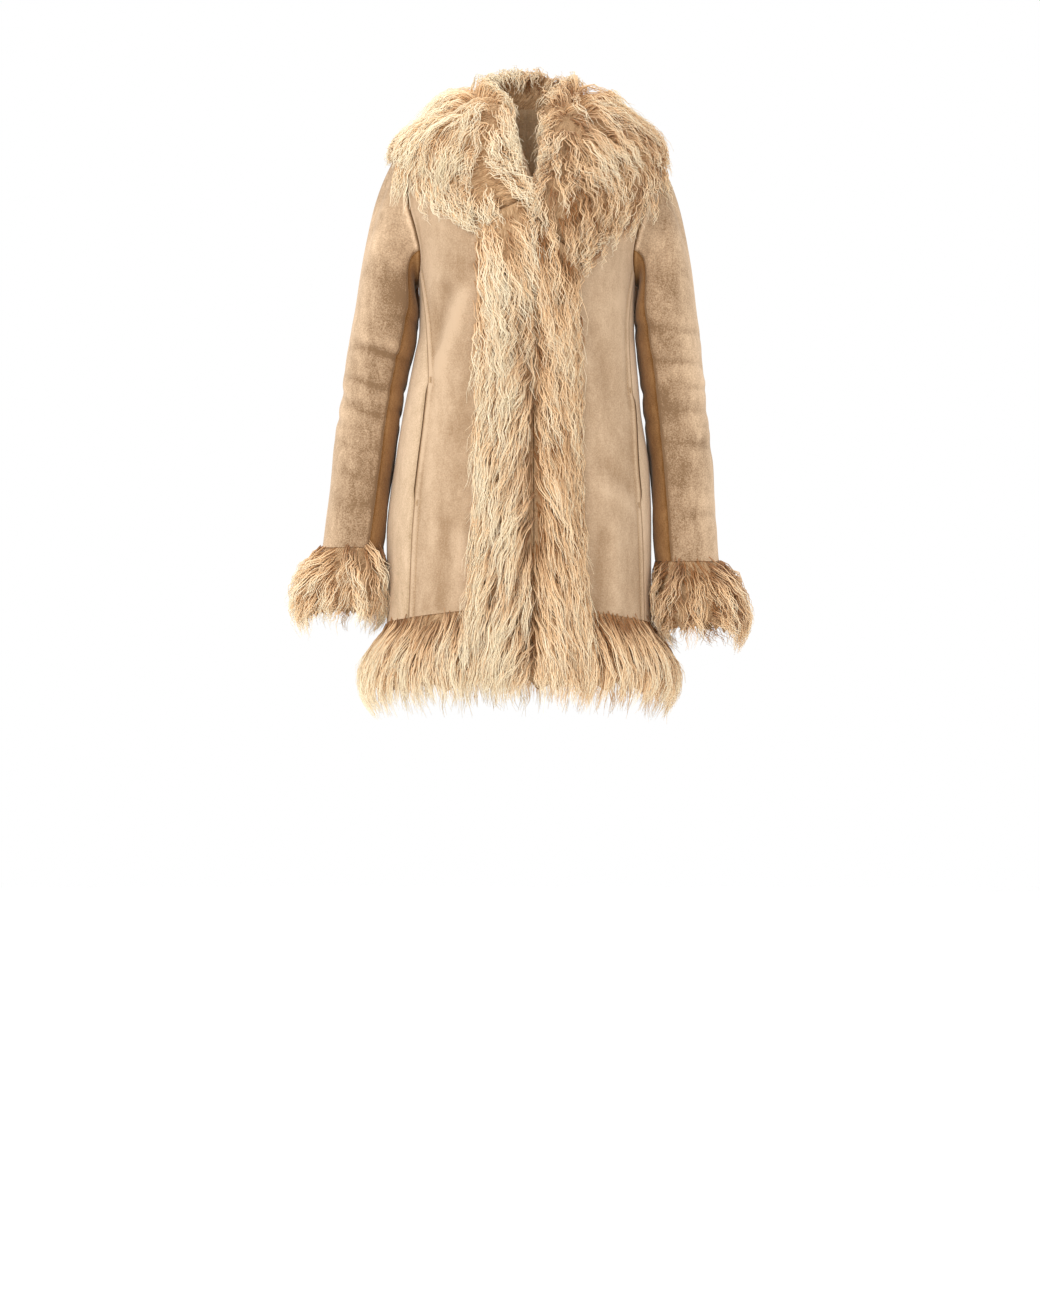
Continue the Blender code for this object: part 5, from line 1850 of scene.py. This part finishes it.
@dataclass
class ShawlCollar(FurStrip):
    """Wide shawl collar, from the right lapel's foot round the neck to the left lapel's foot."""

    @property
    def node(self) -> str:
        """The collar's node."""
        return "collar_fur"

    def sections(self) -> Array:
        """The collar's sections in order."""
        left = [(row[0] - 360, row[1], row[2] - 360, *row[3:]) for row in COLLAR_LEFT[::-1]]
        return np.array([*COLLAR_RIGHT, *left], dtype=float)

    def values(self, u: Array) -> dict[str, Array]:
        """Sections' named values on a smooth curve, and straight on past the lapels' feet."""
        rows = self.sections()
        last = len(rows) - 1
        place = u * last
        inside = np.clip(place, 0, last)
        i = np.minimum(inside.astype(int), last - 1)
        t = (inside - i)[..., None]
        before, start, end, after = (rows[np.clip(i + k, 0, last)] for k in (-1, 0, 1, 2))
        found = 0.5 * (
            2 * start
            + (end - before) * t
            + (2 * before - 5 * start + 4 * end - after) * t * t
            + (3 * start - before - 3 * end + after) * t**3
        )
        past = (place - inside)[..., None]
        found = found + np.where(past < 0, rows[1] - rows[0], rows[last] - rows[last - 1]) * past
        return {name: found[..., k] for k, name in enumerate(STRIP_COLUMNS)}

    def place(self, u: Array, v: Array, height: Array) -> Array:
        """Points over the stand, the shoulders and the lapels, and over the inner edge and down from it."""
        inside = self.lie(u, np.maximum(v, 0.0), height)
        ahead = (self.lie(u, np.full_like(v, 0.02), height) - self.lie(u, np.zeros_like(v), height)) / 0.02
        values = self.values(u)
        up = np.clip((values["inner_level"] - PILE_LEAN) / (STAND_TOP - PILE_LEAN), 0.0, 1.0)[..., None]
        level = np.minimum(values["inner_level"], PILE_LEAN)
        inward = unit(-ahead) * (1 - up) - BODY.normal(values["inner_angle"], level) * up
        inward[..., 2] = 0.0
        past = np.maximum(-v, 0.0) * np.linalg.norm(ahead, axis=-1)
        turn = np.minimum(past / EDGE_ROLL, np.pi / 2)
        down = EDGE_ROLL * (1 - np.cos(turn)) + np.maximum(past - EDGE_ROLL * np.pi / 2, 0.0)
        fall = unit(inward) * (EDGE_ROLL * np.sin(turn))[..., None]
        fall[..., 2] -= down
        return inside + fall

    def lie(self, u: Array, v: Array, height: Array) -> Array:
        """Points between the strip's edges, and straight on past the outer one."""
        values = self.values(u)
        share = np.clip(v, 0.0, 1.0)
        angle = values["inner_angle"] + v * (values["outer_angle"] - values["inner_angle"])
        edges = [self.fall(np.minimum(values[name], STAND_TOP)) for name in ("inner_level", "outer_level")]
        level = self.level_at(edges[0] + v * (edges[1] - edges[0]))
        under = values["under"] + values["lift"] * np.maximum(0.0, v - LIFT_START) / (1 - LIFT_START)
        under = under + SHOULDER_BRIDGE * bell(level, SHOULDER_BEND, SHOULDER)
        high = pile_profile(share, values, COLLAR_TOP, COLLAR_POWER)
        up = np.clip((level - PILE_LEAN) / (STAND_TOP - PILE_LEAN), 0.0, 1.0)[..., None]
        lean = BODY.normal(angle, np.minimum(level, PILE_LEAN))
        pile = unit(lean * (1 - up) + np.array([0.0, 0.0, 1.0]) * up)
        return BODY.point(angle, level) + (high * height + under)[..., None] * pile

    def lock_height(self, u: Array, v: Array) -> Array:
        """Thin at the lapels' feet, where the bands' fur goes on."""
        return super().lock_height(u, v) * np.clip(np.minimum(u, 1 - u) / 0.04, 0.0, 1.0) ** 0.5

    def loft(self, points: Array) -> Array:
        """Flatter over the shoulders."""
        return 1 - 0.32 * smooth(95.0, 150.0, abs(points[..., 0]))

    def fall(self, level: Array) -> Array:
        """Distances over the surface from the top of the stand, nearly, down to levels."""
        shoulder = SHOULDER_STRETCH * np.clip(-level, 0.0, -SHOULDER)
        return STAND_TOP - np.maximum(level, 0.0) + shoulder + np.maximum(SHOULDER - level, 0.0)

    def level_at(self, distance: Array) -> Array:
        """Levels at distances over the surface from the top of the stand."""
        slope_end = STAND_TOP - SHOULDER_STRETCH * SHOULDER
        slope = -(np.minimum(distance, slope_end) - STAND_TOP) / SHOULDER_STRETCH
        below = slope - np.maximum(distance - slope_end, 0.0)
        return np.where(distance <= STAND_TOP, STAND_TOP - distance, below)

    def hanging(self, u: Array, v: Array) -> Array:
        """How much the fur hangs down beside the band, outside at the right lapel's foot."""
        return smooth(0.35, 0.75, v) * (1 - smooth(0.14, 0.26, u))

    def comb(self, u: Array, v: Array) -> tuple[Array, Array]:
        """Outward from the neck, over the inner edge beside it, and down towards the feet on the lapels."""
        lapel = 1 - smooth(0.10, 0.27, u) + smooth(0.73, 0.90, u)
        foot = np.where(u < 0.5, -1.0, 1.0)
        # The right lapel is brushed across to the opening, and the left one outward.
        parting = 0.24 + 0.16 * (1 - smooth(0.06, 0.2, u)) - 0.06 * smooth(0.8, 0.92, u)
        parting = parting + 0.09 * np.sin(170 * u + 40 * v)
        inward = 1 - smooth(-0.11, 0.11, v - parting)
        run_u = foot * lapel * (0.66 + 0.5 * inward + 0.9 * self.hanging(u, v))
        run_v = (1 - 0.3 * lapel) * (1 - 1.55 * inward)
        size = np.maximum(np.hypot(run_u, run_v), 0.2)
        return run_u / size, run_v / size

    def trim(self, u: Array, v: Array, du: Array, dv: Array, rng: np.random.Generator) -> tuple[Array, Array]:
        """Strands end just past the outer edge, inside the inner one and at the lapels' feet."""
        loose = rng.uniform(-0.06, 0.06, len(u))
        lapel = 1 - smooth(0.14, 0.3, u) + smooth(0.7, 0.86, u)
        hanging = self.hanging(u, v)
        du, dv = du * (1 + 0.4 * hanging), dv * (1 + 0.4 * hanging)
        inner, outer = -0.26 + 0.22 * lapel + loose - v, 1.05 + 0.2 * hanging + (1 + 1.5 * lapel) * loose - v
        return np.clip(du, -0.06 + loose / 2 - u, 1.06 + loose / 2 - u), np.clip(dv, inner, outer)

    def settle(self, points: Array) -> Array:
        """Strands that fall over a sleeve's head lie on it."""
        points = points.copy()
        for side in Side:
            top_x, top_y, top_z = SLEEVE_HEAD
            top_x, foot = side.value * top_x, SLEEVE_SECTIONS[side]
            x, y, z = (points[..., i] for i in range(3))
            share = np.clip((top_z - z) / (top_z - SLEEVE_TOP), 0.0, 1.0)
            middle_x = top_x + (float(foot.read("centre_x", SLEEVE_TOP)) - top_x) * share
            wide, deep = SLEEVE_HEAD_HALF[0] - SLEEVE_HEAD_TAPER * share, SLEEVE_HEAD_HALF[1]
            off_x, off_y = (x - middle_x) / wide, (y - top_y) / deep
            reach = np.maximum(np.hypot(off_x, off_y), 1e-3)
            inside = (reach < 1) & (z < top_z) & (side.value * x > SLEEVE_HEAD_INNER_X)
            grow = np.where(inside, 1 / reach, 1.0)
            points[..., 0] = middle_x + off_x * wide * grow
            points[..., 1] = top_y + off_y * deep * grow
        return points


@dataclass
class FrontBand(FurStrip):
    """Band of fur down a front's edge, combed down and outward, to tips below the hem."""

    side: Side = Side.RIGHT
    top_lean: float = 0.0

    @property
    def node(self) -> str:
        """The band's node."""
        return f"front_band_{self.side.word}"

    @property
    def along_u(self) -> bool:
        """The strands run down the band."""
        return True

    def place(self, u: Array, v: Array, height: Array) -> Array:
        """Points between the front edge and the band's side, and hanging on below its tips."""
        table = BANDS[self.side]
        first, last = table.rows[0][0], table.rows[-1][0]
        at = first + (last - first) * u
        values = {name: table.read(name, at) for name in BAND_COLUMNS}
        over = at - np.clip(at, last, first)
        level = values["inner_level"] + v * (values["outer_level"] - values["inner_level"]) + over
        inside = np.clip(level, BODY_FOOT, STAND_TOP)
        start = BODY.angle_at_x(FRONT_EDGE_X + self.side.value * BAND_EDGE_GAP, inside)
        end = BODY.angle_at_x(values["side_x"], inside)
        high = pile_profile(v, values, BAND_TOP, BAND_POWER)
        return BODY.raised(start + v * (end - start), level, high * height + values["under"])

    def comb(self, u: Array, v: Array) -> tuple[Array, Array]:
        """Down, and outward from the parting and at the side, but as the lapel is brushed at the top."""
        lower = smooth(0.08, 0.36, u)
        lean = self.top_lean * (1 - lower) + (16 - 11 * np.clip(v, 0, 1)) * lower
        lean = np.radians(lean + 6 * smooth(0.7, 1.0, v))
        return np.cos(lean), np.sin(lean)

    def curl(self, u: Array) -> Array:
        """Curlier at the top, like the lapels above it."""
        return 1 + 1.1 * (1 - smooth(0.08, 0.55, u))

    def trim(self, u: Array, v: Array, du: Array, dv: Array, rng: np.random.Generator) -> tuple[Array, Array]:
        """Strands end in uneven tips at the foot, and just past the side."""
        share = np.minimum(1.0, (1.0 + rng.uniform(-0.03, 0.012, len(u)) - u) / np.maximum(du, 1e-6))
        loose = rng.uniform(-0.12, 0.12, len(u))
        return du * share, np.clip(dv * share, -0.35 - v, 1.01 + loose - v)


@dataclass
class HangingStrip(FurStrip):
    """A strip sewn on by its top edge, whose strands hang down to uneven tips."""

    splay: float = 0.0
    uneven: float = 0.16

    def lock_height(self, u: Array, v: Array) -> Array:
        """Thin at the seam, so that the strands show there from their roots."""
        return super().lock_height(u, v) * (0.2 + 0.8 * smooth(0.0, 0.45, v))

    def comb(self, u: Array, v: Array) -> tuple[Array, Array]:
        """Down, and splayed away from the middle of the front and of the back."""
        return self.splay * np.sin(2 * TAU * (u - 0.25)), 1.0 + 0.0 * v

    def trim(self, u: Array, v: Array, du: Array, dv: Array, rng: np.random.Generator) -> tuple[Array, Array]:
        """Strands end in uneven tips."""
        return du, np.minimum(dv, 1.0 + rng.uniform(-self.uneven, 0.05, len(u)) - v)


@dataclass
class HemBand(HangingStrip):
    """Band of fur under the hem, open in front, where the front bands hang."""

    @property
    def node(self) -> str:
        """The band's node."""
        return "hem_band"

    def place(self, u: Array, v: Array, height: Array) -> Array:
        """Points round the hem, from the suede's edge down."""
        level = HEM - SEAM + (FUR_TIP - HEM) * v
        inside = np.clip(level, BODY_FOOT, STAND_TOP)
        ends = []
        for side in (Side.LEFT, Side.RIGHT):
            edge = BODY.angle_at_x(BANDS[side].read("side_x", inside), inside)
            ends.append(edge + side.value * BODY.turn_for(1.0, edge, inside))
        angle = ends[0] + (ends[1] + 360 - ends[0]) * u
        out, under = HEM_PROFILE.read("out", level), HEM_PROFILE.read("under", level)
        return BODY.raised(angle, level, under + (out - under) * height)


@dataclass
class Cuff(HangingStrip):
    """Flared tube of fur at the end of a sleeve."""

    side: Side = Side.RIGHT

    @property
    def node(self) -> str:
        """The cuff's node."""
        return f"cuff_{self.side.word}"

    def place(self, u: Array, v: Array, height: Array) -> Array:
        """Points round the wrist, from the sleeve's end down."""
        top, tip = SLEEVE_END[self.side] - SEAM, CUFF_TIP[self.side]
        z = top + (tip - top) * v
        out, under = CUFF_PROFILE.read("out", v), CUFF_PROFILE.read("under", v)
        swell = under + (out - under) * height
        margin = CUFF_CLEARANCE + CUFF_THINNEST * (1 - np.clip(height, 0.0, 1.0))
        return Sleeve(self.side).section(360.0 * u, z, swell, margin)


# --- Sewing ---------------------------------------------------------------------------------------


@dataclass
class SeamStitches:
    """Topstitching beside a side-front seam, and the bar tacks at the ends of its pocket's mouth."""

    side: Side
    finishes: Finishes
    pitch: float = 4.2
    inset: float = 9.0
    thread: float = 0.9
    stitch_share: float = 0.72
    tack_width: float = 8.0
    tack_stitches: int = 9
    tack_pitch: float = 0.9

    def place(self, level: Array, inset: float, height: float) -> Array:
        """Points on the front, an inset away from its seam."""
        seam = BODY.side_seam(SIDE_FRONT_ANGLE, self.side, level)
        angle = seam - self.side.value * BODY.turn_for(inset, seam, level)
        return BODY.raised(angle, level, height)

    def dress(self) -> list[bpy.types.Object]:
        """Lay the row of stitches and the bar tacks."""
        maker = StitchMaker()
        level = np.arange(HEM + 6.0, float(lower_levels(2)[-1]) - 4.0, self.pitch)
        row = self.place(level, self.inset, -0.2)
        run = unit(np.gradient(row, axis=0))
        pocket = POCKETS[self.side]
        tacks, tack_run = [], []
        for end, down in ((pocket.top + 3.0, 1.0), (pocket.foot - 3.0, -1.0)):
            for k in range(self.tack_stitches):
                height = np.array([end + down * (k - self.tack_stitches // 2) * self.tack_pitch])
                inner, outer = self.place(height, 7.0, 1.6), self.place(height, -1.5, 0.6)
                tacks.append((inner + outer)[0] / 2)
                tack_run.append(unit(outer - inner)[0])
        made = []
        for name, points, runs, length in (
            ("topstitch", row, run, self.pitch * self.stitch_share),
            ("bar_tacks", np.array(tacks), np.array(tack_run), self.tack_width),
        ):
            seeds = seeded_object(f"{name}_seeds", points * MM, {"run": runs})
            piece = maker.apply(
                seeds, f"{name}_{self.side.word}",
                {"Length": length * MM, "Thickness": self.thread * MM, "Material": self.finishes.thread},
            )
            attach(piece, "root")
            LOG.info("%s: %d points", piece.name, len(piece.data.vertices))
            made.append(piece)
        return made


# --- Studio ---------------------------------------------------------------------------------------


@dataclass(frozen=True)
class Studio:
    """A white floor in bright air, a camera level with the coat, and soft lights. Lengths are in metres."""

    middle: tuple[float, float, float] = (-0.009, 0.0, -0.706)
    distance: float = 4.3
    frame_height: float = 1.716
    floor: float = -1.525
    floor_size: float = 14.0
    sensor_mm: float = 36.0
    lit_place: tuple[float, float, float] = (0.0, 0.0, -0.35)

    def build(self) -> None:
        """Make all of it."""
        self.paper()
        self.camera()
        self.light("key light", (-1.9, -3.0, 1.5), (2.2, 2.2), 72.0)
        self.light("fill light", (2.6, -2.8, 0.2), (2.4, 2.4), 8.0)
        self.light("low light", (-0.2, -3.4, -1.0), (2.4, 1.0), 8.0)
        self.light("top light", (0.0, 0.1, 2.4), (2.6, 1.8), 24.0)
        world = bpy.data.worlds.new("studio air")
        world.use_nodes = True
        shade = world.node_tree.nodes["Background"].inputs
        shade["Color"].default_value = linear("#ffffff")
        shade["Strength"].default_value = 1.0
        bpy.context.scene.world = world
        bpy.context.scene.view_settings.view_transform = "Standard"

    def paper(self) -> None:
        """The floor, in one flat sheet."""
        half = self.floor_size / 2
        points = [(x * half, y * half, self.floor) for x, y in ((-1, -1), (1, -1), (1, 1), (-1, 1))]
        mesh = bpy.data.meshes.new("studio_paper")
        mesh.from_pydata(points, [], [(0, 1, 2, 3)])
        mesh.materials.append(StudioPaper().material())
        link("studio_paper", mesh)

    def camera(self) -> None:
        """The photograph's view: level, straight on, with the coat in the frame's upper half."""
        data = bpy.data.cameras.new("studio camera")
        data.sensor_fit = "VERTICAL"
        data.sensor_height = self.sensor_mm
        data.lens = data.sensor_height * self.distance / self.frame_height
        camera = bpy.data.objects.new("studio camera", data)
        camera.location = Vector(self.middle) - Vector((0.0, self.distance, 0.0))
        camera.rotation_euler = (math.pi / 2, 0.0, 0.0)
        bpy.context.scene.collection.objects.link(camera)
        bpy.context.scene.camera = camera

    def light(
        self, name: str, place: tuple[float, float, float], size: tuple[float, float], watts: float
    ) -> None:
        """A soft panel light, turned to the coat's middle."""
        data = bpy.data.lights.new(name, "AREA")
        data.shape = "RECTANGLE"
        data.size, data.size_y = size
        data.energy = watts
        light = bpy.data.objects.new(name, data)
        light.location = place
        aim = Vector(self.lit_place) - Vector(place)
        light.rotation_euler = aim.to_track_quat("-Z", "Y").to_euler()
        bpy.context.scene.collection.objects.link(light)


class Coat:
    """The whole coat."""

    def __init__(self) -> None:
        """Make the finishes."""
        self.finishes = Finishes.make()

    def suede(self) -> list[SuedePiece]:
        """The cut pieces of faux suede."""
        pieces: list[SuedePiece] = []
        for side in Side:
            pieces += [
                FrontPanel(side, Cut(0.22, 0.68, 0.112), self.finishes),
                SidePanel(side, Cut(0.18, 0.47, 0.073), self.finishes),
                BackPanel(side, Cut(0.19, 0.71, 0.104), self.finishes),
                SleevePiece(side, Cut(0.24, 0.52, 0.105), self.finishes, upper=True),
                SleevePiece(side, Cut(0.12, 0.40, 0.040), self.finishes, upper=False),
            ]
        return pieces

    def fur(self) -> list[FurStrip]:
        """The strips of faux fur."""
        finishes = self.finishes
        strips: list[FurStrip] = [
            ShawlCollar(
                COLLAR_PILE, Cut(1.02, 0.17, 0.145), finishes, 5, core_rows=90, parts=2, pale=0.3,
                crowding=1.25, rooted=((0.0, 1.0), (0.0, 1.0)),
            ),
            HemBand(
                HEM_PILE, Cut(1.00, 0.12, 0.110), finishes, 11, core_rows=120, pelt_end=0.74,
                crowding=1.3, rooted=((0.0, 1.0), (-0.01, 0.6)),
            ),
        ]
        for side in Side:
            strips.append(
                FrontBand(
                    BAND_PILE, Cut(0.085, 0.65, 0.050), finishes, 20 + side.value, core_rows=70,
                    pelt_end=0.93, ragged=0.03, rooted=((0.0, 0.94), (0.0, 1.0)), side=side,
                    top_lean=-24.0 if side is Side.RIGHT else 14.0,
                )
            )
            strips.append(
                Cuff(
                    CUFF_PILE, Cut(0.36, 0.11, 0.036), finishes, 30 + side.value, core_rows=56,
                    closed=True, pelt_end=0.78, crowding=1.2, rooted=((0.0, 1.0), (-0.01, 0.7)),
                    side=side, splay=0.45, uneven=0.2, pale=-0.2,
                )
            )
        return strips

    def sewing(self) -> list[SeamStitches]:
        """The visible sewing."""
        return [SeamStitches(side, self.finishes) for side in Side]

    def dress(self) -> None:
        """Make every piece in order."""
        for piece in (*self.suede(), *self.fur(), *self.sewing()):
            piece.dress()


def main() -> None:
    """Load the frame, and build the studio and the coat."""
    logging.basicConfig(level=logging.INFO, format="%(message)s", stream=sys.stdout)
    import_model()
    Studio().build()
    Coat().dress()


if __name__ == "__main__":
    main()
